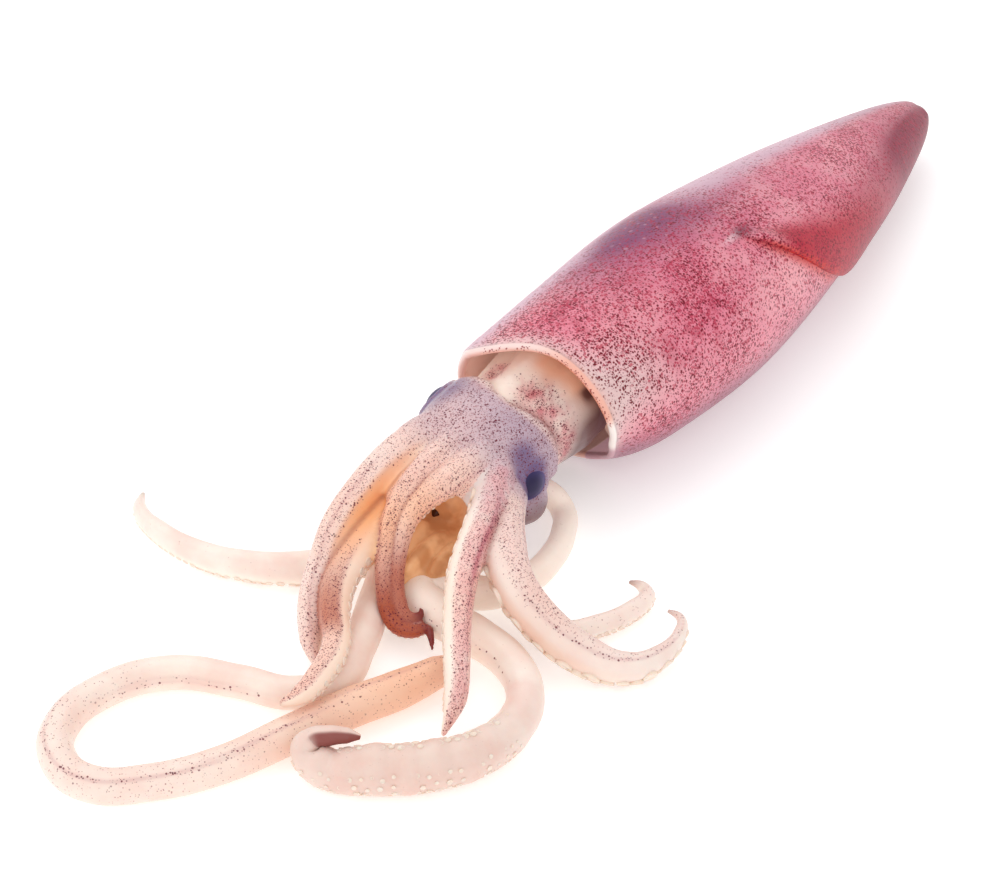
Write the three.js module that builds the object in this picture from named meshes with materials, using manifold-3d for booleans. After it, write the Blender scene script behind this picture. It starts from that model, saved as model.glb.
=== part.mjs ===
// A whole raw squid lying belly down on a flat surface, in millimetres, +Z up.
// The mantle runs along +Y from its open mouth to the tail. The head, arms and tentacles reach towards -Y.
// Places are laid out from the middle of the mantle's mouth, at floor level, and the finished squid is
// then moved so that its origin is under the middle of its bounding box.
import * as THREE from "three";
import { mergeVertices } from "three/addons/utils/BufferGeometryUtils.js";
import Module from "manifold-3d";

const wasm = await Module();
wasm.setup();

// Mantle: a hollow spindle with a wide mouth, a closed tail and a fin draped down each side.
const MANTLE_PROFILE = [[-1, 22.2], [25, 24.2], [61, 25.5], [103, 21.2], [140, 15.2], [172, 8.8],
  [188, 4], [193, 0]];
const MANTLE_STEPS = 26;
const MANTLE_SIDES = 28;
const MANTLE_WIDER = 1.06;
const MANTLE_LOWER = 0.9;
const MANTLE_ROLL = THREE.MathUtils.degToRad(14);
const AXIS_HEIGHT = 21.8;
const TAIL_DROP = 9.8;
const TAIL_BEND = -6;
const SIDE_BULGE = 1.8;
const WALL = 3;
const LIP = 1.6;
const CAVITY_DEPTH = 40;
const CAVITY_STEPS = 9;
const LOBE_REACH = 7;
const LOBE_ANGLE = THREE.MathUtils.degToRad(112);
const BELLY_NOTCH = 13;
const NOTCH_SIDE = 0.34;
const TUCK = 0.2;
const TUCK_ANGLE = THREE.MathUtils.degToRad(-50);
const RIM_BLEND = 40;

// Fins: flaps that grow out of the back, widest a third of the way along, thick at the free edge.
const FIN_START = 66;
const FIN_END = 191;
const FIN_ROOT_ANGLE = THREE.MathUtils.degToRad(40);
const FIN_WIDTH = 33;
const FIN_WIDEST = 0.42;
const FIN_FRONT = 1.3;
const FIN_BACK = 0.75;
const FIN_THICKNESS = 2.4;
const FIN_SINK = 1.2;
const FIN_STEPS = 16;
const FIN_SIDES = 12;

// Head: a wide block turned and rolled a little, with a neck that runs into the mantle.
const HEAD_CENTRE = [-4.5, -18, 18.4];
const HEAD_SIZE = [16.5, 18, 15.5];
const HEAD_SIDES = 20;
const NECK = [[-4.5, -14, 17.5, 14], [-4, -4, 17.6, 13.6], [-3.5, 6, 18, 14], [-3, 18, 18, 12.8],
  [-2.5, 30, 18, 9]];
const NECK_SIDES = 16;
const NECK_STEP = 5;
const FUNNEL = [[-2, 6, 9, 4.8], [-1.5, -6, 7.4, 4.8], [-1, -14, 5.8, 3.6]];
const CROWN_CENTRE = [-2, -33, 17.5];
const CROWN_SIZE = [13, 12, 12];
const MOUTH_CENTRE = [1, -46, 16];
const MOUTH_SIZE = [9.5, 13, 10.5];
const BUCCAL_CENTRE = [-1.6, -33.5, 15];
const BUCCAL_SIZE = [5, 5, 4.6];
const BELLY_WEB_CENTRE = [0, -41, 6.5];
const BELLY_WEB_SIZE = [13, 15, 6];
const WEB_THICKNESS = 1.4;
const WEB_REACH = 0.4;
const WEB_HOLLOW = 0.3;

// Eyes and beak.
const EYE_LEFT = [-17.2, -12.5, 21];
const EYE_RIGHT = [7.6, -19, 16.4];
const EYE_SIZE = [6, 6.8, 6.2];
const EYE_SIDES = 14;
const BEAK_BASE = [-2, -36.2, 15.6];
const BEAK_LENGTH = 6;
const BEAK_RADIUS = 2.6;
const BEAK_HOOK = 1.6;

// Limbs: a route of [x, y, z, radius] stations from the root to the tip.
const ARM_SIDES = 8;
const TENTACLE_SIDES = 10;
const ARM_STEP = 2.8;
const TENTACLE_STEP = 3.4;
const ARMS = {
  left_1: [[-4, -28, 27.5, 4], [-4, -44, 26, 3], [-3.6, -52, 21.5, 2.2], [-1.4, -57.6, 16, 1.9],
    [1.6, -62, 11, 1.8], [5, -65, 7.5, 1.8], [8.8, -66, 5.2, 1.8], [12, -64.6, 4.6, 1.6],
    [14.6, -62.8, 5.4, 1.2], [16.8, -64.3, 5.6, 0.9], [19.4, -67, 4.6, 0.4]],
  right_1: [[3.5, -26, 27, 4.2], [3, -38, 26.8, 3.8], [0.9, -46, 24.4, 2.8], [0.2, -50.5, 21.2, 2.2],
    [1.4, -55.4, 16, 1.8], [3.8, -59.6, 11, 1.7], [6.4, -62, 8.4, 1.7], [9.4, -63.2, 6.6, 1.5],
    [12, -62, 7.2, 1.1], [12.1, -61.6, 9.6, 0.4]],
  left_2: [[-11, -20, 24, 6.2], [-12.6, -27, 25.3, 6.3], [-13.2, -36, 25, 5.3], [-13.4, -44, 24.4, 4.5],
    [-13.3, -51, 22.8, 4.1], [-12.6, -60, 20, 3.8],
    [-11, -68, 15, 3.2], [-8, -76, 10, 2.8], [-3, -82, 7, 2.1], [3, -87, 5, 0.5]],
  right_2: [[4, -22, 24, 4.6], [14, -41, 22, 4], [18, -53, 18.5, 3.6], [25, -65, 15.5, 3.2],
    [31, -73, 13, 2.9], [35, -79, 8, 2.6], [36.5, -85.5, 3, 0.6]],
  left_3: [[-8, -30, 19, 4.6], [-7, -58, 16.5, 4.2], [-5, -69, 13.5, 3.9], [0, -77, 12.5, 3.5],
    [7, -85, 12, 3.1], [10, -95, 11.5, 2.8], [10, -100, 11, 2.3], [8, -104.5, 10.5, 0.9]],
  right_3: [[5, -20, 17, 5], [20, -41, 18.5, 4.8], [29, -49, 16, 4.7], [38, -51, 11, 4.6],
    [48, -49.4, 6, 4.3], [56.5, -46, 4.4, 3.5], [60.2, -37.4, 4, 2.4], [59.4, -28.8, 4, 1.6],
    [56.6, -24.6, 4, 1.1], [53, -24.4, 4, 0.5]],
  left_4: [[-5, -32, 11, 4.4], [-12, -54, 6, 4.2], [-21, -61.5, 4, 4], [-32.5, -69, 3.8, 3.6],
    [-44.2, -72.2, 3.4, 3.2], [-58.2, -71.4, 2.8, 2.7], [-68.4, -67.3, 2.2, 1.8], [-72, -62.3, 2, 0.6]],
  right_4: [[2, -24, 9, 4.2], [26, -42, 6, 3.4], [37, -44, 3.4, 2.8], [43, -36.5, 2.8, 2.6],
    [46, -27.5, 2.6, 2.4], [45.8, -21.8, 2.5, 2], [43, -19.6, 2.5, 1.4], [39.4, -20, 2.5, 0.5]],
};
const TENTACLES = {
  left: [[-5, -34, 10, 4], [-7, -47, 5.2, 3.9], [-2, -60, 4, 4], [5, -75, 4, 4], [8.5, -87, 3.9, 3.8],
    [3, -95, 3.9, 3.8], [-8.5, -99.2, 3.9, 3.8], [-22.6, -106.2, 3.9, 3.9], [-30.2, -119, 3.9, 3.9],
    [-30, -132, 4, 4], [-23, -140, 4, 4], [-13, -141, 4, 4], [-3, -133, 4, 4], [5, -121, 4, 4.1],
    [11, -105, 4.1, 4.3], [16, -92, 4.4, 4.5], [21, -81, 4.4, 4.4], [24, -71, 4, 3.6],
    [25, -64, 3.4, 1.2]],
  right: [[2, -16, 10, 3.6], [9.5, -10, 7.5, 3.1], [13.5, -9.5, 4, 3], [18, -15.5, 3.2, 3],
    [20.9, -24.3, 3.2, 3.2], [21.3, -34.3, 3.6, 3.5], [18, -43, 4, 3.9], [10, -48.5, 4.4, 4.4],
    [6, -53, 4.6, 4.8], [12, -56.5, 4.6, 4.9], [25, -57.5, 4.6, 4.6], [36, -60, 4.5, 4.4],
    [44, -66, 4.4, 4.2], [47.6, -74.5, 4.6, 4.4], [47.2, -85, 5, 4.9], [41.2, -95.8, 5.4, 5.4],
    [32.2, -103.9, 5.4, 5.4], [23.4, -108.9, 4.9, 4.4], [18.9, -109.4, 7.2, 3.3], [19.2, -107.6, 9.4, 2.5],
    [21.9, -105.4, 10.4, 2.2], [25, -102.8, 10.2, 1.7], [27, -101, 9.6, 0.6]],
};

const GAP = 0.3;
const FLOOR_SIZE = 700;

const SKIN_RED = new THREE.MeshStandardMaterial({ color: 0xc0607a, roughness: 0.35, metalness: 0 });
const FLESH = new THREE.MeshStandardMaterial({ color: 0xefd2c2, roughness: 0.35, metalness: 0 });
const EYE_BLUE = new THREE.MeshStandardMaterial({ color: 0x4b4a7c, roughness: 0.2, metalness: 0 });
const HORN = new THREE.MeshStandardMaterial({ color: 0x2a1a12, roughness: 0.4, metalness: 0 });

// A three.js geometry as a solid that can be joined and cut.
function solidOf(geometry) {
  geometry.deleteAttribute("normal");
  geometry.deleteAttribute("uv");
  const merged = mergeVertices(geometry, 1e-4);
  return new wasm.Manifold(new wasm.Mesh({
    numProp: 3,
    vertProperties: new Float32Array(merged.attributes.position.array),
    triVerts: new Uint32Array(merged.index.array),
  }));
}

// A solid as a named mesh.
function meshOf(name, solid, material) {
  const { vertProperties, triVerts } = solid.getMesh();
  const geometry = new THREE.BufferGeometry();
  geometry.setAttribute("position", new THREE.BufferAttribute(vertProperties, 3));
  geometry.setIndex(new THREE.BufferAttribute(triVerts, 1));
  geometry.computeVertexNormals();
  const mesh = new THREE.Mesh(geometry, material);
  mesh.name = name;
  return mesh;
}

// Moves each vertex of a geometry to the place that a function gives.
function reshape(geometry, place) {
  const position = geometry.attributes.position;
  const vertex = new THREE.Vector3();
  for (let i = 0; i < position.count; i += 1) {
    vertex.fromBufferAttribute(position, i);
    place(vertex);
    position.setXYZ(i, vertex.x, vertex.y, vertex.z);
  }
  return geometry;
}

// A curve through stations, with the radius between them, both by the share t of the route's length.
function routeOf(stations) {
  const points = stations.map(([x, y, z]) => new THREE.Vector3(x, y, z));
  const curve = new THREE.CatmullRomCurve3(points, false, "centripetal");
  return {
    length: curve.getLength(),
    at(t) {
      const u = curve.getUtoTmapping(t);
      const index = u * (stations.length - 1);
      const low = Math.min(Math.floor(index), stations.length - 2);
      const radius = THREE.MathUtils.lerp(stations[low][3], stations[low + 1][3], index - low);
      return { centre: curve.getPoint(u), tangent: curve.getTangent(u), radius };
    },
  };
}

// A limb: a capped cylinder bent along its route, its back kept upward.
function limb(stations, sides, step) {
  const route = routeOf(stations);
  const steps = Math.max(6, Math.round(route.length / step));
  const up = new THREE.Vector3(0, 0, 1);
  const geometry = new THREE.CylinderGeometry(1, 1, 1, sides, steps);
  return reshape(geometry, (vertex) => {
    const { centre, tangent, radius } = route.at(vertex.y + 0.5);
    const back = up.clone().addScaledVector(tangent, -up.dot(tangent)).normalize();
    const side = new THREE.Vector3().crossVectors(tangent, back);
    const across = vertex.x * radius;
    const above = vertex.z * radius;
    vertex.copy(centre).addScaledVector(side, across).addScaledVector(back, above);
  });
}

function ball(centre, size, sides, swell = 0) {
  return new THREE.SphereGeometry(1, sides, Math.round(sides * 0.66))
    .scale(size[0] + swell, size[1] + swell, size[2] + swell)
    .translate(...centre);
}

// A web: a thin sheet between two limbs, from their roots to a free edge that is hollow in the middle.
function web(stationsA, stationsB) {
  const [a, b] = [routeOf(stationsA), routeOf(stationsB)];
  const between = (along, across) => {
    const reach = Math.max(0, along) * WEB_REACH * (1 - WEB_HOLLOW * 4 * across * (1 - across));
    return a.at(reach).centre.lerp(b.at(reach).centre, across);
  };
  return reshape(new THREE.BoxGeometry(1, 1, 1, 4, 8, 1), (vertex) => {
    const [across, along, above] = [vertex.x + 0.5, vertex.y + 0.5, vertex.z];
    const lengthwise = between(along + 0.01, across).sub(between(along - 0.01, across));
    const sideways = between(along, across + 0.01).sub(between(along, across - 0.01));
    const normal = sideways.cross(lengthwise).normalize();
    vertex.copy(between(along, across)).addScaledVector(normal, above * WEB_THICKNESS);
  });
}

const profilePoints = MANTLE_PROFILE.map(([y, radius]) => new THREE.Vector2(radius, y));
const outerWall = new THREE.SplineCurve(profilePoints).getPoints(MANTLE_STEPS).reverse();

// Radius of the mantle's round profile at a distance y behind its mouth.
function mantleRadius(y) {
  const after = Math.max(1, outerWall.findIndex((point) => point.y <= y));
  const [a, b] = [outerWall[after - 1], outerWall[after]];
  return THREE.MathUtils.mapLinear(y, a.y, b.y, a.x, b.x);
}

// Sets a round-profile vertex into the resting mantle: rim drawn out over the back, notched under the
// belly and tucked in at the lower right, then rolled, flattened, laid along the gently bent axis and
// pressed flat on the floor.
function settle(vertex, floor) {
  const angle = Math.atan2(vertex.z, vertex.x);
  const rim = THREE.MathUtils.clamp(1 - (vertex.y - MANTLE_PROFILE[0][0]) / RIM_BLEND, 0, 1);
  const lobe = LOBE_REACH * Math.max(0, Math.cos(angle - LOBE_ANGLE)) ** 10;
  const notch = BELLY_NOTCH * (Math.max(0, NOTCH_SIDE - Math.sin(angle)) / (1 + NOTCH_SIDE)) ** 2;
  const tuck = 1 - TUCK * rim ** 4 * Math.max(0, Math.cos(angle - TUCK_ANGLE)) ** 2;
  const y = vertex.y + rim * rim * (notch - lobe);
  const tail = THREE.MathUtils.clamp(y / FIN_END, 0, 1);
  const x = vertex.x * Math.cos(MANTLE_ROLL) - vertex.z * Math.sin(MANTLE_ROLL);
  const z = vertex.x * Math.sin(MANTLE_ROLL) + vertex.z * Math.cos(MANTLE_ROLL);
  const height = AXIS_HEIGHT - TAIL_DROP * tail * tail + z * MANTLE_LOWER;
  const aside = SIDE_BULGE * Math.sin(Math.PI * tail) ** 0.7 + TAIL_BEND * tail * tail;
  vertex.set(x * tuck * MANTLE_WIDER + aside, y, Math.max(floor, height));
}

function mantleBody() {
  const cavity = Array.from({ length: CAVITY_STEPS + 1 }, (_, i) => {
    const share = i / CAVITY_STEPS;
    const y = MANTLE_PROFILE[0][0] + CAVITY_DEPTH * Math.sin(share * Math.PI / 2);
    const thickness = THREE.MathUtils.lerp(LIP, WALL, Math.min(1, share * 4));
    return new THREE.Vector2((mantleRadius(y) - thickness) * Math.sqrt(Math.max(0, 1 - share ** 4)), y);
  });
  const isInner = (vertex) => {
    const radius = Math.hypot(vertex.x, vertex.z);
    const inDepth = vertex.y < MANTLE_PROFILE[0][0] + CAVITY_DEPTH + 0.01;
    return inDepth && radius < mantleRadius(vertex.y) - LIP / 2;
  };
  const outline = [...cavity.reverse(), ...outerWall.toReversed()];
  const geometry = new THREE.LatheGeometry(outline, MANTLE_SIDES);
  return solidOf(reshape(geometry, (vertex) => settle(vertex, isInner(vertex) ? WALL : 0)));
}

// A fin: a flattened ball that follows the mantle's side from its root on the back to its free edge.
function fin(side) {
  const geometry = new THREE.SphereGeometry(1, FIN_SIDES, FIN_STEPS);
  return solidOf(reshape(geometry, (vertex) => {
    const along = (1 - vertex.y) / 2;
    const ring = Math.max(1e-9, Math.hypot(vertex.x, vertex.z));
    const share = 0.5 - 0.5 * side * vertex.x / ring;
    const above = vertex.z / ring;
    const swell = Math.sin(Math.PI * along ** (Math.log(0.5) / Math.log(FIN_WIDEST)));
    const width = FIN_WIDTH * Math.max(0, swell) ** (along < FIN_WIDEST ? FIN_FRONT : FIN_BACK);
    const y = THREE.MathUtils.lerp(FIN_START, FIN_END, along);
    const angle = Math.PI / 2 - side * (FIN_ROOT_ANGLE + share * width / mantleRadius(y));
    const edge = Math.min(1, width / 4) * THREE.MathUtils.lerp(0.25, 1, share);
    const reach = mantleRadius(y) + (above > 0 ? FIN_THICKNESS * edge : FIN_SINK) * above;
    vertex.set(reach * Math.cos(angle), y, reach * Math.sin(angle));
    settle(vertex, 0);
  }));
}

// The beak: a cone that points forward, bent downward into a hook.
function beak(swell) {
  const cone = new THREE.ConeGeometry(BEAK_RADIUS + swell, BEAK_LENGTH + 2 * swell, 12, 6);
  return solidOf(reshape(cone.rotateX(Math.PI), (vertex) => {
    const share = 0.5 - vertex.y / BEAK_LENGTH;
    vertex.z -= BEAK_HOOK * share * share;
    vertex.add(new THREE.Vector3(...BEAK_BASE));
  }));
}

function floorBlock() {
  const block = new THREE.BoxGeometry(FLOOR_SIZE, FLOOR_SIZE, FLOOR_SIZE);
  return solidOf(block.translate(0, 0, -FLOOR_SIZE / 2));
}

// The largest body of a solid, without any hollow that joining has sealed.
function outerShell(solid) {
  return solid.decompose().sort((a, b) => b.volume() - a.volume())[0];
}

const mantle = outerShell(mantleBody().add(fin(1)).add(fin(-1)));
const arms = Object.values(ARMS).map((stations) => solidOf(limb(stations, ARM_SIDES, ARM_STEP)));
const tentacles = Object.values(TENTACLES).map(
  (stations) => solidOf(limb(stations, TENTACLE_SIDES, TENTACLE_STEP)),
);
const mouth = solidOf(ball(MOUTH_CENTRE, MOUTH_SIZE, EYE_SIDES));
const headParts = [
  solidOf(ball(HEAD_CENTRE, HEAD_SIZE, HEAD_SIDES)),
  solidOf(limb(NECK, NECK_SIDES, NECK_STEP)),
  solidOf(limb(FUNNEL, TENTACLE_SIDES, NECK_STEP)),
  solidOf(ball(CROWN_CENTRE, CROWN_SIZE, HEAD_SIDES)).subtract(mouth),
  solidOf(ball(BUCCAL_CENTRE, BUCCAL_SIZE, EYE_SIDES)),
  solidOf(ball(BELLY_WEB_CENTRE, BELLY_WEB_SIZE, HEAD_SIDES)),
  solidOf(web(ARMS.left_1, ARMS.left_2)),
  solidOf(web(ARMS.left_1, ARMS.left_3)),
  solidOf(web(ARMS.right_2, ARMS.right_3)),
  ...arms,
  ...tentacles,
];
const cutters = [
  floorBlock(),
  solidOf(ball(EYE_LEFT, EYE_SIZE, EYE_SIDES, GAP)),
  solidOf(ball(EYE_RIGHT, EYE_SIZE, EYE_SIDES, GAP)),
  beak(GAP),
];
const joined = wasm.Manifold.union(headParts);
const head = outerShell(cutters.reduce((solid, cutter) => solid.subtract(cutter), joined));

const squid = new THREE.Group();
squid.add(
  meshOf("mantle", mantle, SKIN_RED),
  meshOf("head_and_arms", head, FLESH),
  meshOf("eye_left", solidOf(ball(EYE_LEFT, EYE_SIZE, EYE_SIDES)), EYE_BLUE),
  meshOf("eye_right", solidOf(ball(EYE_RIGHT, EYE_SIZE, EYE_SIDES)), EYE_BLUE),
  meshOf("beak", beak(0), HORN),
);
const middle = new THREE.Box3().setFromObject(squid).getCenter(new THREE.Vector3());
squid.position.set(-middle.x, -middle.y, 0);

export default squid;
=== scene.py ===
# %% [markdown]
# # A whole raw squid
#
# One fresh squid lies on its belly with its arms and two long tentacles spread towards us. The CAD model
# gives the frame: where the body tube, the head, each arm and both eyes are. This lesson keeps that layout
# and replaces every solid with a finer one: a rounded mantle with a fleshy lip, fins that lie along its
# flanks, a head that flows into keeled arms, suckers, eyes and a beak, each with a wet, speckled skin.

# %% Load the frame
import math

import bpy
import numpy as np
from mathutils import Matrix, Vector, geometry


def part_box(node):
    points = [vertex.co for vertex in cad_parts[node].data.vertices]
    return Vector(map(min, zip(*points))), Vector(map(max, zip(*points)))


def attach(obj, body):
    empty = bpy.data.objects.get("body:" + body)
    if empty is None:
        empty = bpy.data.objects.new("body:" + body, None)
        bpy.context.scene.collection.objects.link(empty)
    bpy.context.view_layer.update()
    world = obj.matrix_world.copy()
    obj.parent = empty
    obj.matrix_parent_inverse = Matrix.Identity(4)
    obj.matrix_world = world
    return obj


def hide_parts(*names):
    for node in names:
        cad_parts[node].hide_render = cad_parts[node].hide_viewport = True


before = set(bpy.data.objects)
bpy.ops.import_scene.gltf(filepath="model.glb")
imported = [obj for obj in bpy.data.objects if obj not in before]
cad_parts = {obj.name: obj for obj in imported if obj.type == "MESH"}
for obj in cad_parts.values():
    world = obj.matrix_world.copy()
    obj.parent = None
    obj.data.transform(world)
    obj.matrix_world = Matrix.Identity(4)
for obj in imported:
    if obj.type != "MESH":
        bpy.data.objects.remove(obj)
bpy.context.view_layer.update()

print("nodes:", sorted(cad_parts))

# %% [markdown]
# The layout is written in millimetres from the middle of the mantle's mouth: y runs back along the body to
# the tail, z up from the table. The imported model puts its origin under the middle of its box, so one shift,
# read from the left eye's box, takes every layout point to its place in metres.

# %% Places and small tools
MM = 0.001
EYE_LEFT = np.array((-17.2, -12.5, 21))
EYE_RIGHT = np.array((7.6, -19, 16.4))
EYE_SIZE = np.array((6, 6.8, 6.2))
eye_low, eye_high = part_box("eye_left")
SHIFT = np.array((eye_low + eye_high) / 2) - EYE_LEFT * MM


def place(points):
    """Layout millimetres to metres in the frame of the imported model."""
    return np.asarray(points, float) * MM + SHIFT


def in_layout(points):
    """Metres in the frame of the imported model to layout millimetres."""
    return (points - SHIFT) / MM


def pick(*pieces):
    """Selects these pieces alone, the first one active."""
    bpy.ops.object.select_all(action="DESELECT")
    for piece in pieces:
        piece.select_set(True)
    bpy.context.view_layer.objects.active = pieces[0]


def added(operator, name, **settings):
    """Adds one object with an operator, selected alone, and names it."""
    bpy.ops.object.select_all(action="DESELECT")
    operator(**settings)
    bpy.context.object.name = name
    return bpy.context.object


def points_of(piece):
    """A piece's vertices as an array of rows."""
    flat = np.empty(len(piece.data.vertices) * 3, np.float32)
    piece.data.vertices.foreach_get("co", flat)
    return flat.reshape(-1, 3).astype(float)


def shape(piece, rule):
    """Moves every vertex of a piece to the place that a rule gives, and turns the faces outwards."""
    piece.data.vertices.foreach_set("co", rule(points_of(piece)).astype(np.float32).ravel())
    piece.data.update()
    pick(piece)
    bpy.ops.object.mode_set(mode="EDIT")
    bpy.ops.mesh.select_all(action="SELECT")
    bpy.ops.mesh.normals_make_consistent(inside=False)
    bpy.ops.object.mode_set(mode="OBJECT")


def finish_with(piece, kind, **settings):
    """Adds one modifier and applies it."""
    pick(piece)
    modifier = piece.modifiers.new(kind.lower(), kind)
    for name, value in settings.items():
        setattr(modifier, name, value)
    bpy.ops.object.modifier_apply(modifier=modifier.name)


def paint(piece, names, masks):
    """Stores a value for each vertex under each name, 0 where there is no mask, for the materials to read."""
    for name in names:
        values = np.clip(masks.get(name, 0) + np.zeros(len(piece.data.vertices)), 0, 1)
        piece.data.attributes.new(name, "FLOAT", "POINT").data.foreach_set("value", values.astype(np.float32))


def soft(value, start, end):
    """A smooth step from 0 at start to 1 at end."""
    share = np.clip((np.asarray(value, float) - start) / (end - start), 0, 1)
    return share * share * (3 - 2 * share)


def hill(value, middle, width):
    """A smooth bump of height 1 at middle."""
    return np.exp(-(((np.asarray(value, float) - middle) / width) ** 2))


def triangles(piece):
    return sum(len(face.vertices) - 2 for face in piece.data.polygons)


print("shift of the layout in mm:", [round(float(s) / MM, 2) for s in SHIFT])

# %% [markdown]
# The camera looks down on the head end from the right, at the angle of the photograph: 38 degrees above the
# table, with a long lens that keeps the tail from shrinking too much.

# %% Camera
VIEW_TURN = math.radians(36.794)
VIEW_RISE = math.radians(38)
VIEW_TARGET = (-16.25, 4.2, 0)
VIEW_DISTANCE = 610.66
back = Vector((math.sin(VIEW_TURN) * math.cos(VIEW_RISE), -math.cos(VIEW_TURN) * math.cos(VIEW_RISE),
               math.sin(VIEW_RISE)))
camera = added(bpy.ops.object.camera_add, "camera",
               location=Vector(place(VIEW_TARGET)) + back * VIEW_DISTANCE * MM)
camera.rotation_mode = "QUATERNION"
camera.rotation_quaternion = (-back).to_track_quat("-Z", "Y")
camera.data.lens = 90
camera.data.sensor_width = 36
camera.data.clip_start = 0.02
camera.data.clip_end = 20
bpy.context.scene.camera = camera
print("camera at", [round(c, 3) for c in camera.location])

# %% [markdown]
# ## The mantle
#
# The mantle is the squid's body: a muscular tube, open at the head end, that narrows to a pointed tail. It
# could be lofted from rings, but a sphere already has rings and two closed poles, so its rings are laid
# along a closed profile instead: down the outside from the tail, round the lip, and back into the cavity as
# far as one can look. The same rule as in the CAD then settles it on the table.

# %% Profile of the mantle
MANTLE_PROFILE = [(-1, 22.2), (25, 24.2), (61, 25.5), (103, 21.2), (140, 15.2), (172, 8.8), (188, 4),
                  (193, 0)]
MOUTH_Y, MOUTH_RADIUS = MANTLE_PROFILE[0]
PROFILE_POINTS = 400
MANTLE_WIDER = 1.06
MANTLE_LOWER = 0.9
MANTLE_ROLL = math.radians(14)
AXIS_HEIGHT = 21.8
TAIL_DROP = 9.8
TAIL_BEND = -6
SIDE_BULGE = 1.8
WALL = 3
LIP = 2.1
CAVITY_DEPTH = 40
LOBE_REACH = 7
LOBE_ANGLE = math.radians(112)
BELLY_NOTCH = 13
NOTCH_SIDE = 0.34
TUCK = 0.2
TUCK_ANGLE = math.radians(-50)
RIM_BLEND = 40
FIN_END = 191


def smooth_line(knots, count):
    """Points on a smooth curve through knots, evenly spaced in the knots' own steps."""
    knots = np.asarray(knots, float)
    padded = np.vstack([knots[:1], knots, knots[-1:]])
    at = np.linspace(0, len(knots) - 1, count)
    low = np.minimum(at.astype(int), len(knots) - 2)
    w = (at - low)[:, None]
    a, b, c, d = (padded[low + step] for step in range(4))
    start, end = (c - a) / 2, (d - b) / 2
    return (2 * b - 2 * c + start + end) * w**3 + (3 * c - 3 * b - 2 * start - end) * w**2 + start * w + b


outer_line = smooth_line(MANTLE_PROFILE, PROFILE_POINTS)


def mantle_radius(y):
    return np.interp(y, outer_line[:, 0], outer_line[:, 1])


def settle(x, y, z, floor):
    """Lays the round mantle down: its rim drawn out above, notched and tucked below, rolled and pressed."""
    angle = np.arctan2(z, x)
    rim = np.clip(1 - (y + 1) / RIM_BLEND, 0, 1)
    lobe = LOBE_REACH * np.maximum(0, np.cos(angle - LOBE_ANGLE)) ** 10
    notch = BELLY_NOTCH * (np.maximum(0, NOTCH_SIDE - np.sin(angle)) / (1 + NOTCH_SIDE)) ** 2
    tuck = 1 - TUCK * rim**4 * np.maximum(0, np.cos(angle - TUCK_ANGLE)) ** 2
    y = y + rim * rim * (notch - lobe)
    tail = np.clip(y / FIN_END, 0, 1)
    across = x * math.cos(MANTLE_ROLL) - z * math.sin(MANTLE_ROLL)
    above = x * math.sin(MANTLE_ROLL) + z * math.cos(MANTLE_ROLL)
    height = AXIS_HEIGHT - TAIL_DROP * tail**2 + above * MANTLE_LOWER - floor
    pressed = floor + 0.5 * (height + np.sqrt(height**2 + 0.8))
    aside = SIDE_BULGE * np.sin(np.pi * tail) ** 0.7 + TAIL_BEND * tail**2
    return place(np.stack([across * tuck * MANTLE_WIDER + aside, y, pressed], axis=1))


print("mantle is widest,", round(2 * outer_line[:, 1].max() * MANTLE_WIDER, 1), "mm across")

# %% Mantle from a sphere's rings
OUTER_ROWS, LIP_ROWS, CAVITY_ROWS = 170, 14, 56
ROWS = OUTER_ROWS + LIP_ROWS + CAVITY_ROWS
mantle = added(bpy.ops.mesh.primitive_uv_sphere_add, "mantle_skin", segments=184, ring_count=ROWS, radius=1)
ball = points_of(mantle)
mantle_row = np.arccos(np.clip(ball[:, 2], -1, 1)) / math.pi * ROWS
mantle_angle = -np.arctan2(ball[:, 1], ball[:, 0])
mantle_turn = (90 - np.degrees(mantle_angle) + 180) % 360 - 180

length_along = np.concatenate([[0], np.cumsum(np.hypot(*np.diff(outer_line, axis=0).T))])
steps = np.arange(PROFILE_POINTS)
even = np.interp(np.linspace(length_along[-1], 0, OUTER_ROWS), length_along, steps)
outer_y = np.interp(even, steps, outer_line[:, 0])
outer_r = np.interp(even, steps, outer_line[:, 1])
bend = np.linspace(0, np.pi, LIP_ROWS)
share = np.linspace(0, 1, CAVITY_ROWS + 1)
cavity_y = MOUTH_Y + CAVITY_DEPTH * np.sin(share * np.pi / 2)
cavity_wall = LIP + (WALL - LIP) * np.minimum(1, 4 * share)
cavity_r = (mantle_radius(cavity_y) - cavity_wall) * np.sqrt(np.maximum(0, 1 - share**4))
rows_y = np.concatenate([outer_y, MOUTH_Y - 0.55 * LIP * np.sin(bend), cavity_y])
rows_r = np.concatenate([outer_r, MOUTH_RADIUS - LIP / 2 + LIP / 2 * np.cos(bend), cavity_r])
mantle_y = np.interp(mantle_row, np.arange(len(rows_y)) * ROWS / (len(rows_y) - 1), rows_y)
mantle_r = np.interp(mantle_row, np.arange(len(rows_r)) * ROWS / (len(rows_r) - 1), rows_r)
inside = mantle_row > OUTER_ROWS + LIP_ROWS
lip_near = soft(mantle_row, OUTER_ROWS - 3, OUTER_ROWS + 2) * soft(mantle_row, ROWS - 44, ROWS - 55)


def mantle_rule(_):
    """Each row of the sphere goes to its place on the profile, whatever it was before."""
    ripple = 0.25 * np.sin(mantle_angle * 7 + 0.9) * soft(mantle_y, 60, 0) * lip_near
    fat_lip = 2.2 * lip_near * hill(mantle_turn, 100, 12)
    r = mantle_r + ripple + np.where(inside, -fat_lip, 0.3 * fat_lip)
    x, z = r * np.cos(mantle_angle), r * np.sin(mantle_angle)
    return settle(x, mantle_y, z, np.where(inside, WALL, 0))


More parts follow.
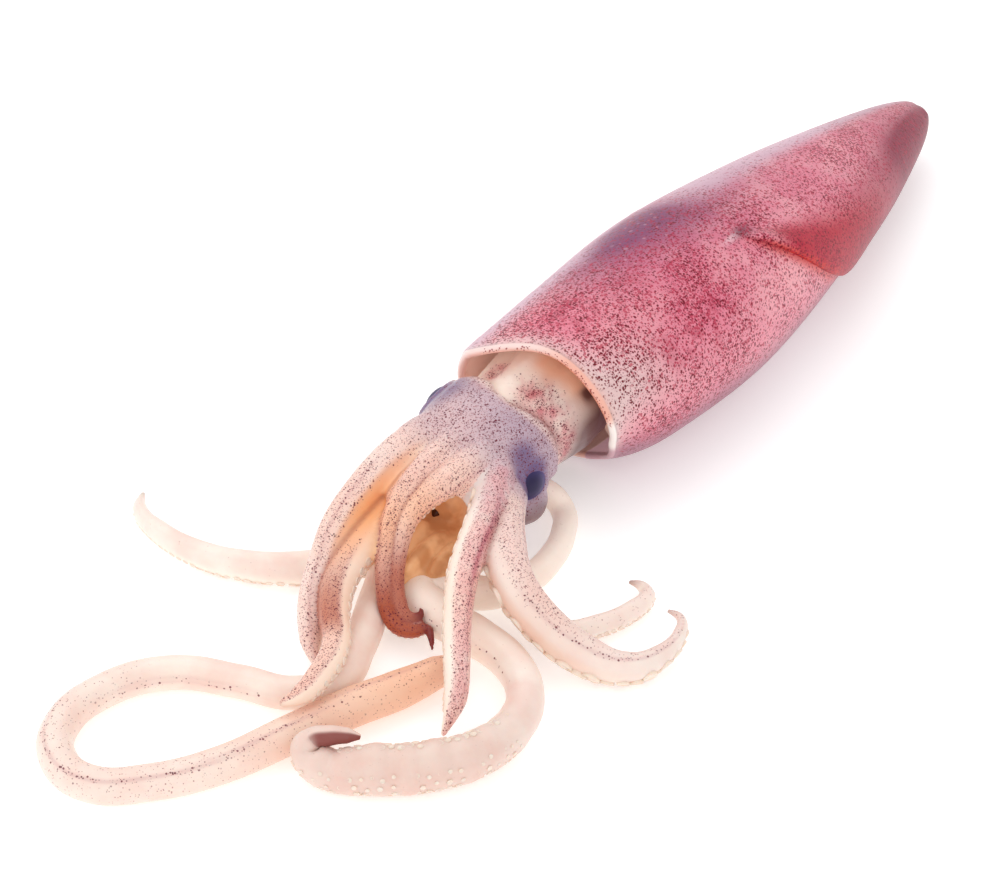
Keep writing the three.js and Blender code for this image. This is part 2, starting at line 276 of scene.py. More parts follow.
shape(mantle, mantle_rule)
bpy.ops.object.shade_smooth()
print("mantle_skin:", triangles(mantle), "triangles")

# %% [markdown]
# ## The fins
#
# Two soft fins grow from the back half of the mantle and, out of the water, fall against its flanks. Each
# is a flattened ball whose one side follows the mantle's surface: it leaves the back flush along its root
# line, and its free margin is a thin, slightly waved edge that stands a little off the skin.

# %% Fins from flattened balls
FIN_START = 66
FIN_ROOT = math.radians(40)
FIN_WIDTH = 33
FIN_WIDEST = 0.42
FIN_FRONT = 1.3
FIN_BACK = 0.75
FIN_THICKNESS = 2.3


def fin_width(along):
    swell = np.sin(np.pi * along ** (math.log(0.5) / math.log(FIN_WIDEST)))
    return FIN_WIDTH * np.maximum(0, swell) ** np.where(along < FIN_WIDEST, FIN_FRONT, FIN_BACK)


def fin(name, side):
    piece = added(bpy.ops.mesh.primitive_uv_sphere_add, name, segments=88, ring_count=132, radius=1)
    unit = points_of(piece)
    along = np.clip((1 - unit[:, 2]) / 2, 0, 1)
    ring = np.maximum(1e-9, np.hypot(unit[:, 0], unit[:, 1]))
    out = 0.5 - 0.5 * side * unit[:, 0] / ring
    above = unit[:, 1] / ring
    width = fin_width(along)
    y = FIN_START + (FIN_END - FIN_START) * along
    turn = FIN_ROOT + out * width / mantle_radius(y)
    wave = 0.35 * np.sin(along * 21 + side) * soft(out, 0.6, 1)
    blade = np.minimum(1, width / (5 if side > 0 else 16)) * (0.1 + 0.9 * soft(out, 0, 0.75))
    lift = np.where(above > 0, FIN_THICKNESS * blade * np.abs(above) ** 0.7, -1.1 * np.abs(above))
    r = mantle_radius(y) + lift + wave * np.minimum(1, width / 8)
    angle = np.pi / 2 - side * turn
    shape(piece, lambda points: settle(r * np.cos(angle), y, r * np.sin(angle), 0))
    bpy.ops.object.shade_smooth()
    print(name + ":", triangles(piece), "triangles")
    return piece, y, side * np.degrees(turn), out, along


fin_right, *fin_right_map = fin("fin_right", 1)
fin_left, *fin_left_map = fin("fin_left", -1)

# %% [markdown]
# ## Head, neck and arms
#
# The head sits in the mantle's mouth on a folded neck, and eight arms grow out of its front in a crown. On
# the real animal all of it is one piece of flesh, so the parts are modelled one by one, joined, fused by a
# voxel remesh and then relaxed where they meet. Each arm follows a curve through stations, with the radius
# at each, and carries a keeled section that is turned so its sucker side faces where the photograph shows
# it.

# %% Routes of the limbs
ARMS = {
    "left_1": [(-4, -28, 27.5, 4), (-4, -44, 26, 3), (-3.6, -52, 21.5, 2.2), (-1.4, -57.6, 16, 1.9),
        (1.6, -62, 11, 1.8), (5, -65, 7.5, 1.8), (8.8, -66, 5.2, 1.8), (12, -64.6, 4.6, 1.6),
        (14.6, -62.8, 5.4, 1.2), (16.8, -64.3, 5.6, 0.9), (19.4, -67, 4.6, 0.4)],
    "right_1": [(3.5, -26, 27, 4.2), (3, -38, 26.8, 3.8), (0.9, -46, 24.4, 2.8), (0.2, -50.5, 21.2, 2.2),
        (1.4, -55.4, 16, 1.8), (3.8, -59.6, 11, 1.7), (6.4, -62, 8.4, 1.7), (9.4, -63.2, 6.6, 1.5),
        (12, -62, 7.2, 1.1), (12.1, -61.6, 9.6, 0.4)],
    "left_2": [(-10, -20, 23.6, 6), (-12, -27, 24.6, 5.6), (-13, -36, 24.8, 5), (-13.4, -44, 24.4, 4.4),
        (-13.3, -51, 22.8, 4.1), (-12.6, -60, 20, 3.8), (-11, -68, 15, 3.2), (-7.6, -76.1, 10, 3.1),
        (-2.5, -82.2, 7, 2.6), (3, -87, 5, 0.5)],
    "right_2": [(4, -22, 24, 4.6), (14, -41, 22, 4), (18, -53, 18.5, 3.6), (25, -65, 15.5, 3.2),
        (31, -73, 13, 2.9), (35, -79, 8, 2.6), (36.5, -85.5, 3, 0.6)],
    "left_3": [(-8, -30, 19, 4.6), (-7, -58, 16.5, 4.2), (-5, -69, 13.5, 3.9), (0, -77, 12.5, 3.5),
        (7, -85, 12, 3.1), (10, -95, 11.5, 2.8), (10, -100, 11, 2.3), (8, -104.5, 10.5, 0.9)],
    "right_3": [(5, -20, 17, 5), (20, -41, 18.5, 4.8), (29, -49, 16, 4.7), (38, -51, 11, 4.6),
        (48, -49.4, 6, 4.3), (56.5, -46, 4.4, 3.5), (60.2, -37.4, 4, 2.4), (59.4, -28.8, 4, 1.6),
        (56.6, -24.6, 4, 1.1), (53, -24.4, 4, 0.5)],
    "left_4": [(-5, -32, 11, 4.4), (-12, -54, 6, 4.2), (-21, -61.5, 4, 4), (-32.5, -69, 3.8, 3.6),
        (-44.2, -72.2, 3.4, 3.2), (-58.2, -71.4, 2.8, 2.7), (-68.4, -67.3, 2.2, 1.8), (-72, -62.3, 2, 0.6)],
    "right_4": [(2, -24, 9, 4.2), (26, -42, 6, 3.4), (37, -44, 3.4, 2.8), (43, -36.5, 2.8, 2.6),
        (46, -27.5, 2.6, 2.4), (45.8, -21.8, 2.5, 2), (43, -19.6, 2.5, 1.4), (39.4, -20, 2.5, 0.5)],
}
TENTACLES = {
    "left": [(-5, -34, 10, 4), (-7, -47, 5.2, 3.9), (-2, -60, 4, 4), (5, -75, 4, 4), (8.5, -87, 3.9, 3.8),
        (3, -95, 3.9, 3.8), (-8.5, -99.2, 3.9, 3.8), (-22.6, -106.2, 3.9, 3.9), (-30.2, -119, 3.9, 3.9),
        (-30, -132, 4, 4), (-23, -140, 4, 4), (-13, -141, 4, 4), (-3, -133, 4, 4), (5, -121, 4, 4.1),
        (11, -105, 4.1, 4.3), (16, -92, 4.4, 4.5), (21, -81, 4.4, 4.4), (24, -71, 4, 3.6),
        (25, -64, 3.4, 1.2)],
    "right": [(2, -16, 10, 3.6), (9.5, -10, 7.5, 3.1), (13.5, -9.5, 4, 3), (18, -15.5, 3.2, 3),
        (20.9, -24.3, 3.2, 3.2), (21.3, -34.3, 3.6, 3.5), (18, -43, 4, 3.9), (10, -48.5, 4.4, 4.4),
        (6, -53, 4.6, 4.8), (12, -56.5, 4.6, 4.9), (25, -57.5, 4.6, 4.6), (36, -60, 4.5, 4.4),
        (44, -66, 4.4, 4.2), (47.6, -74.5, 4.6, 4.4), (47.2, -85, 5, 4.9), (41.2, -95.8, 5.4, 5.4),
        (32.2, -103.9, 5.4, 5.4), (23.4, -108.9, 4.9, 4.4), (18.9, -109.4, 7.2, 3.3),
        (19.2, -107.6, 9.4, 2.5), (21.9, -105.4, 10.4, 2.2), (25, -102.8, 10.2, 1.7), (27, -101, 9.6, 0.6)],
}
print(len(ARMS), "arms and", len(TENTACLES), "tentacles")

# %% A section and a limb along its route
KEELED = (1.0, 0.98, 1.1, 0.98, 1.0, 0.97, 0.8, 0.97)
ROUND = (1.0,) * 8
ROUTE_STEPS = 17
routes = {}


def section(name, radii):
    """A closed curve for the limbs' section: eight points, counted from the right, the third one on top."""
    curve = added(bpy.ops.curve.primitive_bezier_circle_add, name, radius=1)
    bpy.ops.object.mode_set(mode="EDIT")
    bpy.ops.curve.select_all(action="SELECT")
    bpy.ops.curve.subdivide()
    bpy.ops.object.mode_set(mode="OBJECT")
    for point in curve.data.splines[0].bezier_points:
        step = round(math.atan2(point.co.y, point.co.x) / (math.pi / 4)) % 8
        point.co = Vector((math.cos(step * math.pi / 4), math.sin(step * math.pi / 4), 0)) * radii[step]
        point.handle_left_type = point.handle_right_type = "AUTO"
    curve.data.resolution_u = 4
    return curve


def limb(name, stations, profile, roll=0.0, resolution=10):
    """A tapering limb along its stations, closed at both ends, its keel turned by roll from straight up."""
    path = added(bpy.ops.curve.primitive_bezier_curve_add, name)
    path.data.splines[0].bezier_points.add(len(stations) - 2)
    knots = path.data.splines[0].bezier_points
    for knot, (x, y, z, radius) in zip(knots, stations):
        knot.co = place((x, y, z))
        knot.handle_left_type = knot.handle_right_type = "AUTO"
        knot.radius = radius * MM
        knot.tilt = math.radians(roll)
    path.data.bevel_mode = "OBJECT"
    path.data.bevel_object = profile
    path.data.use_fill_caps = True
    path.data.twist_mode = "Z_UP"
    path.data.resolution_u = resolution
    bpy.context.view_layer.update()
    line, radii = [], []
    for a, b, (*_, ra), (*_, rb) in zip(knots, knots[1:], stations, stations[1:]):
        line += geometry.interpolate_bezier(a.co, a.handle_right, b.handle_left, b.co, ROUTE_STEPS)[:-1]
        radii += list(np.linspace(ra, rb, ROUTE_STEPS)[:-1])
    line.append(knots[-1].co.copy())
    radii.append(stations[-1][3])
    routes[name] = route_of(np.array([list(p) for p in line]), np.array(radii) * MM)
    pick(path)
    bpy.ops.object.convert(target="MESH")
    finish_with(path, "WELD", merge_threshold=0.00002)
    return path


def route_of(line, radii):
    """A route's points with the radius, keel and side at each, and how far along each point is."""
    ahead = np.gradient(line, axis=0)
    ahead /= np.linalg.norm(ahead, axis=1, keepdims=True)
    keel = np.array([0, 0, 1]) - ahead * ahead[:, 2:]
    keel /= np.linalg.norm(keel, axis=1, keepdims=True)
    side = np.cross(ahead, keel)
    reach = np.concatenate([[0], np.cumsum(np.linalg.norm(np.diff(line, axis=0), axis=1))])
    return {"line": line, "radius": radii, "keel": keel, "side": side, "along": reach / reach[-1],
            "length": reach[-1]}


ARM_ROLL = {"left_1": 10, "right_1": -10, "left_2": 25, "right_2": -20, "left_3": 35, "right_3": -25,
            "left_4": 10, "right_4": -10}
keeled = section("arm_section", KEELED)
arms = [limb("arm_" + name, stations, keeled, ARM_ROLL[name]) for name, stations in ARMS.items()]
print("arms:", {name: round(route["length"] / MM) for name, route in routes.items()}, "mm long")

# %% Sizes of the head
NECK = [(-4.5, -14, 18, 13.6), (-4.3, -4, 18.5, 14), (-4.0, 6, 19.2, 15.2), (-3.5, 18, 19, 14.2),
        (-3, 30, 18.5, 10)]
NECK_AXIS = np.array((-4.1, 18.9))
FUNNEL = [(-2, 6, 9, 4.8), (-1.5, -6, 7.4, 4.8), (-1, -14, 5.8, 3.6)]
HEAD_CENTRE, HEAD_SIZE = np.array((-4.5, -18, 18.4)), np.array((16.5, 18, 15.5))
CROWN_CENTRE, CROWN_SIZE = (-2, -33, 17.5), (13, 12, 12)
MOUTH_CENTRE, MOUTH_SIZE = (1, -46, 16), (9.5, 13, 10.5)
SMALL_FORMS = {
    "buccal_mass": ((-1.6, -33.5, 15), (5, 5, 4.6), 64),
    "belly_web": ((0, -41, 6.5), (13, 15, 6), 64),
    "cheek": ((9.6, -19.6, 11.2), (5, 6.4, 5.4), 32),
    "socket_left": ((-17.4, -8.4, 17.2), (4.2, 4.2, 4.8), 32),
    "mouth_fold_1": ((-2.6, -45.5, 11), (2.2, 9, 3), 32),
    "mouth_fold_2": ((2.6, -46.5, 10.8), (2, 9, 3.1), 32),
    "mouth_fold_3": ((7.2, -44.5, 10.2), (1.9, 8, 3.2), 32),
}
COLLAR_DRAWN = 5.6


def ball_at(name, centre, size, segments=64):
    """A ball with its middle at a layout point, stretched to three half widths."""
    piece = added(bpy.ops.mesh.primitive_uv_sphere_add, name, segments=segments,
                  ring_count=segments * 3 // 4, radius=1)
    shape(piece, lambda points: place(points * np.array(size) + np.array(centre)))
    return piece


def turn_of_neck(p):
    """Degrees round the neck from straight up, positive to the right."""
    return np.degrees(np.arctan2(p[:, 0] - NECK_AXIS[0], p[:, 2] - NECK_AXIS[1]))


def drawn_forward(p):
    """How far round the back of the neck the collar is drawn forward: 1 in the middle of it."""
    return hill(turn_of_neck(p), 18, 46)


def from_collar(p):
    """Place behind the mouth as the collar sees it: its edge is drawn forward on the back of the neck."""
    return p[:, 1] + COLLAR_DRAWN * drawn_forward(p)


def collar(points):
    """A soft shoulder where the head ends over the neck."""
    p = in_layout(points)
    out = p - HEAD_CENTRE
    drawn = drawn_forward(p)
    edge = from_collar(p) + 0.9 * np.sin(out[:, 0] * 0.42) + 0.6 * np.sin(out[:, 0] * 1.1 + out[:, 2] * 0.5)
    swell = 1 + (1 - 0.75 * drawn) * (0.07 * hill(edge, -11, 4) + 0.1 * hill(edge, -8.8, 1.5))
    swell -= 0.16 * drawn * soft(edge, -8.2, -5.4)
    out[:, [0, 2]] *= swell[:, None]
    return place(out + HEAD_CENTRE)


def neck_folds(points):
    """Long folds in the neck's skin, deepest on its back."""
    p = in_layout(points)
    y, turn = p[:, 1], turn_of_neck(p)
    ridge = 1.6 * hill(turn, -3, 12) + 3 * hill(turn, 68, 34) * hill(y, 1, 8) - 1.6 * hill(turn, 20, 8)
    ridge += 0.5 * hill(turn, -40, 10) - 1.1 * hill(turn, -24, 8) - 0.7 * hill(turn - y, 50, 5)
    ridge *= soft(y, 24, 12) * soft(y, -12, -5)
    p[:, [0, 2]] = NECK_AXIS + (p[:, [0, 2]] - NECK_AXIS) * (1 + ridge / 14)[:, None]
    return place(p)


print("head is", 2 * HEAD_SIZE[0], "mm wide")

# %% Neck, funnel, head and crown
rounded = section("round_section", ROUND)
neck = limb("neck", NECK, rounded, resolution=14)
shape(neck, neck_folds)
funnel = limb("funnel", FUNNEL, rounded)
head = ball_at("head", HEAD_CENTRE, HEAD_SIZE, 72)
shape(head, collar)
crown = ball_at("crown", CROWN_CENTRE, CROWN_SIZE)
hollow = ball_at("mouth_hollow", MOUTH_CENTRE, MOUTH_SIZE)
finish_with(crown, "BOOLEAN", object=hollow, operation="DIFFERENCE", solver="EXACT")
bpy.data.objects.remove(hollow)
small_forms = [ball_at(name, *sizes) for name, sizes in SMALL_FORMS.items()]
print("neck, funnel, head and crown are in place, with", len(small_forms), "small forms")

# %% Eyelids
EYE_OUT = {"left": Vector((-0.86, 0.0, 0.5)), "right": Vector((0.88, -0.3, 0.35))}


def eyelid(name, centre, out, lift, spread, thick):
    """A ring of skin round an eye, where it stands out of the head."""
    ring = added(bpy.ops.mesh.primitive_torus_add, name, major_radius=spread * MM, minor_radius=thick * MM,
                 major_segments=40, minor_segments=14)
    turn = out.normalized().to_track_quat("Z", "Y").to_matrix()
    at = Vector(place(centre)) + out.normalized() * lift * MM
    shape(ring, lambda points: points @ np.array(turn).T + np.array(at))
    return ring


lids = [eyelid("lid_left", EYE_LEFT, EYE_OUT["left"], 3.4, 4.9, 1.8),
        eyelid("lid_right", EYE_RIGHT, EYE_OUT["right"], 2.7, 5.3, 1.1)]
print("eyelids:", [ring.name for ring in lids])

# %% Webs between the arms
WEB_HOLLOW = 0.22


def route_at(route, share):
    """The points at these shares of a route."""
    return np.stack([np.interp(share, route["along"], route["line"][:, k]) for k in range(3)], axis=1)


def web(name, first, second, reach, thickness):
    """A sheet of skin between two arms, from their roots to a hollow free edge."""
    sheet = added(bpy.ops.mesh.primitive_grid_add, name, x_subdivisions=14, y_subdivisions=26, size=1)
    flat = points_of(sheet)
    across, along = flat[:, 0] + 0.5, flat[:, 1] + 0.5
    share = along * reach * (1 - WEB_HOLLOW * 4 * across * (1 - across))
    a, b = route_at(routes[first], share), route_at(routes[second], share)
    shape(sheet, lambda points: a + (b - a) * across[:, None])
    finish_with(sheet, "SOLIDIFY", thickness=thickness * MM, offset=0)
    return sheet


webs = [web("web_left", "arm_left_1", "arm_left_2", 0.45, 1.5),
        web("web_inner", "arm_left_1", "arm_left_3", 0.5, 1.4),
        web("web_right", "arm_right_2", "arm_right_3", 0.4, 1.5)]
print("webs:", [sheet.name for sheet in webs])

# %% [markdown]
# Joining only puts the parts in one object. The voxel remesh makes one closed skin round all of them, and
# the Smooth modifier relaxes it: strongly where arms, head and neck meet, so that the crotches fill in as
# in flesh, and only a little along the arms, so that their keels and thin tips stay.

# %% One skin for head and arms
VOXEL = 0.00056
RELAX_CENTRE, RELAX_SIZE = np.array((-1, -30, 18)), np.array((1, 1.1, 1))
RELAX_FROM, RELAX_TO, RELAX_LEAST = 24, 13, 0.12
LUMP_SIZE, LUMP_HEIGHT = 0.009, 0.0016
pick(head, neck, funnel, crown, *small_forms, *lids, *webs, *arms)
bpy.ops.object.join()
flesh = head
flesh.name = "head_and_arms_flesh"
finish_with(flesh, "REMESH", mode="VOXEL", voxel_size=VOXEL, use_smooth_shade=True)


def weigh(piece, name, weights):
    """A vertex group with a weight for each vertex, in steps of a twentieth."""
    group = piece.vertex_groups.new(name=name)
    steps = np.round(np.clip(weights, 0, 1) * 20).astype(int)
    for step in range(1, 21):
        group.add(np.nonzero(steps == step)[0].tolist(), step / 20, "REPLACE")


p = in_layout(points_of(flesh))
to_crown = np.linalg.norm((p - RELAX_CENTRE) / RELAX_SIZE, axis=1)
weigh(flesh, "relax", RELAX_LEAST + (1 - RELAX_LEAST) * soft(to_crown, RELAX_FROM, RELAX_TO))
finish_with(flesh, "SMOOTH", factor=0.5, iterations=9, vertex_group="relax")
finish_with(flesh, "SMOOTH", factor=0.5, iterations=3)
lumps = bpy.data.textures.new("lumps", "CLOUDS")
lumps.noise_scale = LUMP_SIZE
finish_with(flesh, "DISPLACE", texture=lumps, strength=LUMP_HEIGHT, mid_level=0.5, vertex_group="relax")
bpy.data.textures.remove(lumps)
print("head_and_arms_flesh:", triangles(flesh), "triangles")

# %% [markdown]
# ## Tentacles
#
# The two tentacles are longer and rounder than the arms. One makes a long loop on the table and comes back
# under the arms, the other leaves behind the head and ends in a thick club that curls at its tip. They are
# plain limbs, and the club then gets low ribs like the swollen muscle of the real one.

# %% Tentacles and the club
POINTS_AT_ONCE = 20000
tentacles = []
for name, stations in TENTACLES.items():
    piece = limb("tentacle_" + name, stations, rounded, resolution=14)
    finish_with(piece, "SUBSURF", levels=1, render_levels=1)
    tentacles.append(piece)
for profile in (keeled, rounded):
    bpy.data.objects.remove(profile)


def nearest(points, names):
    """Each point's nearest limb, the share along it, the angle round it, its distance and the next one's."""
    count = len(points)
    best, second = np.full(count, np.inf), np.full(count, np.inf)
    which, along, around = np.zeros(count, int), np.zeros(count), np.zeros(count)
    for number, name in enumerate(names):
        route = routes[name]
        for start in range(0, count, POINTS_AT_ONCE):
            part = slice(start, start + POINTS_AT_ONCE)
            gap = np.linalg.norm(points[part, None, :] - route["line"], axis=2) / route["radius"]
            at = gap.argmin(axis=1)
            close = gap[np.arange(len(at)), at]
            better = close < best[part]
            off = points[part] - route["line"][at]
            sideways, up = ((off * route[key][at]).sum(1) for key in ("side", "keel"))
            angle = np.degrees(np.arctan2(sideways, up))
            second[part] = np.minimum(second[part], np.maximum(close, best[part]))
            best[part] = np.where(better, close, best[part])
            which[part] = np.where(better, number, which[part])
            along[part] = np.where(better, route["along"][at], along[part])
            around[part] = np.where(better, angle, around[part])
    return which, along, around, best, second


def club_form(points):
    """Low ribs and dimples along the club."""
    _, along, around, *_ = nearest(points, ["tentacle_right"])
    route = routes["tentacle_right"]
    middle = route_at(route, along)
    club = soft(along, 0.62, 0.72) * soft(along, 0.99, 0.93)
    rib = 0.035 * np.sin(along * 190) + 0.02 * np.sin(along * 83 + around / 40)
    return middle + (points - middle) * (1 + club * rib)[:, None]


shape(tentacles[1], club_form)
for piece in tentacles:
    pick(piece)
    bpy.ops.object.shade_smooth()
print("tentacles:", [triangles(piece) for piece in tentacles], "triangles")

# %% [markdown]
# ## Suckers
#
# Two rows of small stalked cups run along the side of each arm that faces the mouth. The club has four rows
# on its edges and two of smaller cups on its face. One cup is modelled by hand from a short cylinder: its
# top is inset, sunk and rounded. Every other one is a copy of it, scaled with its arm and turned to its
# place.

# %% One sucker
def edit_faces(piece, wanted):
    """Opens a piece for editing with the faces selected that point up, for 1, or down, for -1."""
    bpy.ops.object.mode_set(mode="EDIT")
    bpy.ops.mesh.select_all(action="DESELECT")
    bpy.ops.object.mode_set(mode="OBJECT")
    for face in piece.data.polygons:
        face.select = face.normal.z * wanted > 0.9
    bpy.ops.object.mode_set(mode="EDIT")


cup = added(bpy.ops.mesh.primitive_cylinder_add, "sucker", vertices=10, radius=1, depth=1.1)
edit_faces(cup, 1)
bpy.ops.mesh.inset(thickness=0.36)
bpy.ops.transform.translate(value=(0, 0, -0.2))
bpy.ops.mesh.inset(thickness=0.2)
edit_faces(cup, -1)
bpy.ops.transform.resize(value=(0.7, 0.7, 1))
bpy.ops.object.mode_set(mode="OBJECT")
finish_with(cup, "BEVEL", width=0.24, segments=2, limit_method="ANGLE", angle_limit=math.radians(40))
bpy.ops.object.shade_smooth()
print("one sucker:", triangles(cup), "triangles")

# %% Rows of suckers
# Arms: the angles of both rows, and how large the cups are. Club: angle, end, size, gap and sink of each row.
SUCKER_ROWS = {"arm_left_1": (150, 195, 1), "arm_right_1": (165, 210, 1), "arm_left_2": (-135, -165, 1),
               "arm_right_2": (80, 108, 1.7), "arm_left_3": (-84, -118, 1.35), "arm_right_3": (120, 145, 2.4),
               "arm_left_4": (-120, -150, 1.1), "arm_right_4": (105, 135, 1.1)}
CLUB_ROWS = [(34, 0.88, 0.85, 2.4, 0.35), (14, 0.88, 0.85, 2.4, 0.35), (-120, 0.93, 0.85, 2.4, 0.35),
             (-142, 0.93, 0.85, 2.4, 0.35), (-92, 0.92, 0.62, 4.2, 0.2), (-66, 0.9, 0.5, 4.2, 0.2)]
ARM_CUPS = (0.2, 0.93)
CLUB_START = 0.66
LOWEST_CUP = 0.0008
copies = []


def radius_at(route, share):
    return float(np.interp(share, route["along"], route["radius"]))


def sucker(route, share, angle, size, sink):
    """One cup on a limb, unless it would touch the table."""
    at = Vector(route_at(route, np.array([share]))[0])
    k = int(np.argmin(np.abs(route["along"] - share)))
    turn = math.radians(angle + 5 * math.sin(share * 310))
    size *= 1 + 0.18 * math.sin(share * 173 + angle)
    out = Vector(route["keel"][k] * math.cos(turn) + route["side"][k] * math.sin(turn))
    spot = at + out * (radius_at(route, share) - sink * size * MM)
    if spot.z < LOWEST_CUP:
        return
    made = cup.copy()
    made.data = cup.data.copy()
    bpy.context.scene.collection.objects.link(made)
    frame_of_cup = Matrix.Translation(spot) @ out.to_track_quat("Z", "Y").to_matrix().to_4x4()
    made.data.transform(frame_of_cup @ Matrix.Scale(size * MM, 4))
    copies.append(made)


def sucker_rows(route, angles, start, end, size_at, gap, sink=0.35):
    """Rows of cups at these angles, each half a step on from the one before it."""
    share = start
    while share < end:
        size = size_at(share)
        step = gap * size * MM / route["length"]
        for number, angle in enumerate(angles):
            sucker(route, share + number * step / 2, angle, size, sink)
        share += step


for name, (first, second, larger) in SUCKER_ROWS.items():
    route = routes[name]
    sucker_rows(route, (first, second), *ARM_CUPS,
                lambda share: larger * (0.2 * radius_at(route, share) / MM + 0.12), 2.5)
for row, (angle, end, larger, gap, sink) in enumerate(CLUB_ROWS):
    sucker_rows(routes["tentacle_right"], [angle], CLUB_START + 0.004 * row, end,
                lambda share: larger * soft(share, 1.06, 0.86) * (0.5 + 0.5 * soft(share, 0.64, 0.74)),
                gap, sink)
bpy.data.objects.remove(cup)
pick(*copies)
bpy.ops.object.join()
suckers = copies[0]
suckers.name = "suckers"
print("suckers:", len(copies), "cups,", triangles(suckers), "triangles")

# %% [markdown]
# ## Eyes and beak
#
# The eyes are large dark balls in the head's sides, seen through clear skin. The beak is a small horny hook
# deep between the arms. Both start as a sphere: the eyes get a raised cornea and a pupil, the beak is drawn
# out to a point and bent down.

# %% Eyes
def eye(name, centre, out):
    piece = ball_at(name, (0, 0, 0), (1, 1, 1), 48)
    unit = in_layout(points_of(piece))
    gaze = unit @ np.array(out.normalized())
    swell = 0.985 + 0.05 * soft(gaze, 0.75, 0.98)
    shape(piece, lambda points: place(unit * swell[:, None] * EYE_SIZE + centre))
    bpy.ops.object.shade_smooth()
    paint(piece, ["gaze"], {"gaze": 0.5 + 0.5 * gaze})
    return piece


eye_left = eye("eyeball_left", EYE_LEFT, EYE_OUT["left"])
eye_right = eye("eyeball_right", EYE_RIGHT, EYE_OUT["right"])
print("eyes:", triangles(eye_left) + triangles(eye_right), "triangles")

# %% Beak
BEAK_BASE, BEAK_LENGTH, BEAK_RADIUS, BEAK_HOOK = (-2, -36.2, 15.6), 6, 2.6, 1.6


def beak_rule(points):
    unit = in_layout(points)
    share = (1 - unit[:, 1]) / 2
    r = BEAK_RADIUS * np.sqrt(np.maximum(0, 1 - unit[:, 1] ** 2))
    r *= np.where(share > 0.3, 1.25 - 0.8 * share, 1)
    ring = np.maximum(1e-9, np.hypot(unit[:, 0], unit[:, 2]))
    x, z = unit[:, 0] / ring * r, unit[:, 2] / ring * r * (1 - 0.25 * soft(unit[:, 2], 0.2, -0.6))
    y = BEAK_LENGTH * (0.5 - share)
    return place(np.stack([x, y, z - BEAK_HOOK * share**2], axis=1) + np.array(BEAK_BASE))


beak = ball_at("beak_hook", (0, 0, 0), (1, 1, 1), 32)
shape(beak, beak_rule)
bpy.ops.object.shade_smooth()
print("beak_hook:", triangles(beak), "triangles")

# %% [markdown]
# ## Painting by place
#
# A squid's colour lies in thousands of pigment cells, dense and wine-red on the back, sparse on the flanks
# and on the arms' pale sucker sides. Materials need to know where they are, so each piece stores a few soft
# masks, worked out from a vertex's place on the animal: how far back it is and how far round from the
# middle of the back for the mantle, and how far along and round its limb for the arms. Some masks paint
# light and shade into the colour instead: shade on the mantle's underside, in its cavity, in the fin's
# notch and in grooves between limbs, a shadow under the fins' edges, a sheen along the mantle's left
# contour, a highlight on the collar, and glow where light shines through the flesh.

# %% Masks of the mantle and fins
MANTLE_MASKS = ["violet", "pale_skin_and_sheen", "patch", "flank", "belly_shade", "salmon", "wine", "red", "dots", "tail",
                "bold", "notch", "slit", "under_fin_shadow", "fin", "margin", "lip", "lip_orange", "lip_white",
                "flap", "rim_line", "inner_pale", "inside", "deep_shade"]


def mantle_masks(y, turn):
    """Masks from the place behind the mouth, in mm, and the turn from mid-back, in degrees."""
    violet = hill(y, 51, 22) * hill(turn, -10, 24) + 0.1 * hill(y, 96, 30) * hill(turn, 8, 14)
    violet += 0.2 * soft(turn, 44, 8) * soft(y, 10, 28) * soft(y, 110, 70)
    violet += 0.22 * hill(y, 65, 15) * hill(turn, 15, 12)
    # Paler skin on the left flank, with a painted sheen of reflected white light along the left contour.
    pale_skin_and_sheen = soft(turn, -22, -38) * soft(y, 130, 60) + soft(turn, 14, -6) * soft(y, 62, 84)
    pale_skin_and_sheen += 0.8 * soft(turn, -8, -26) * soft(y, 50, 32)
    pale_skin_and_sheen *= soft(turn, -84, -52)
    patch = hill(y, 4, 15) * hill(turn, 68, 22)
    patch += 0.6 * hill(y, -1, 4) * soft(turn, -40, 0) * soft(turn, 130, 90)
    salmon = hill(y, 72, 22) * hill(turn, 74, 17)
    flank = soft(turn, 62, 90) + soft(turn, -60, -100)
    # Painted shade on the underside, where the mantle turns down towards the table.
    belly_shade = soft(np.abs(turn), 97, 130)
    wine = hill(y, 33, 19) * hill(turn, 65, 19) + 0.6 * hill(y, 30, 26) * hill(turn, 20, 18)
    wine += 1.1 * hill(y, 10, 7) * hill(turn, 12, 15) + 0.7 * hill(y, 16, 16) * hill(turn, 112, 18)
    tail = soft(y, 130, 168) * (0.32 + 0.68 * soft(turn, 26, 60)) + 0.5 * soft(y, 178, 192)
    tail += 0.45 * soft(y, 104, 136) * soft(turn, 40, 72)
    quiet = np.clip(pale_skin_and_sheen + 0.3 * violet + 0.75 * salmon, 0, 1)
    dots = np.clip(0.78 + 0.06 * wine - 0.15 * soft(y, 60, 95), 0, 1) * (1 - 0.6 * quiet)
    red = np.clip(0.62 + 0.5 * wine - 0.2 * flank, 0, 1) * (1 - 0.95 * patch) * (1 - 0.7 * quiet)
    return {"violet": violet, "pale_skin_and_sheen": pale_skin_and_sheen, "patch": patch, "flank": flank, "belly_shade": belly_shade,
            "salmon": salmon, "wine": wine, "red": red * (1 - 0.6 * belly_shade), "dots": dots, "tail": tail,
            "bold": soft(y, 40, 12)}
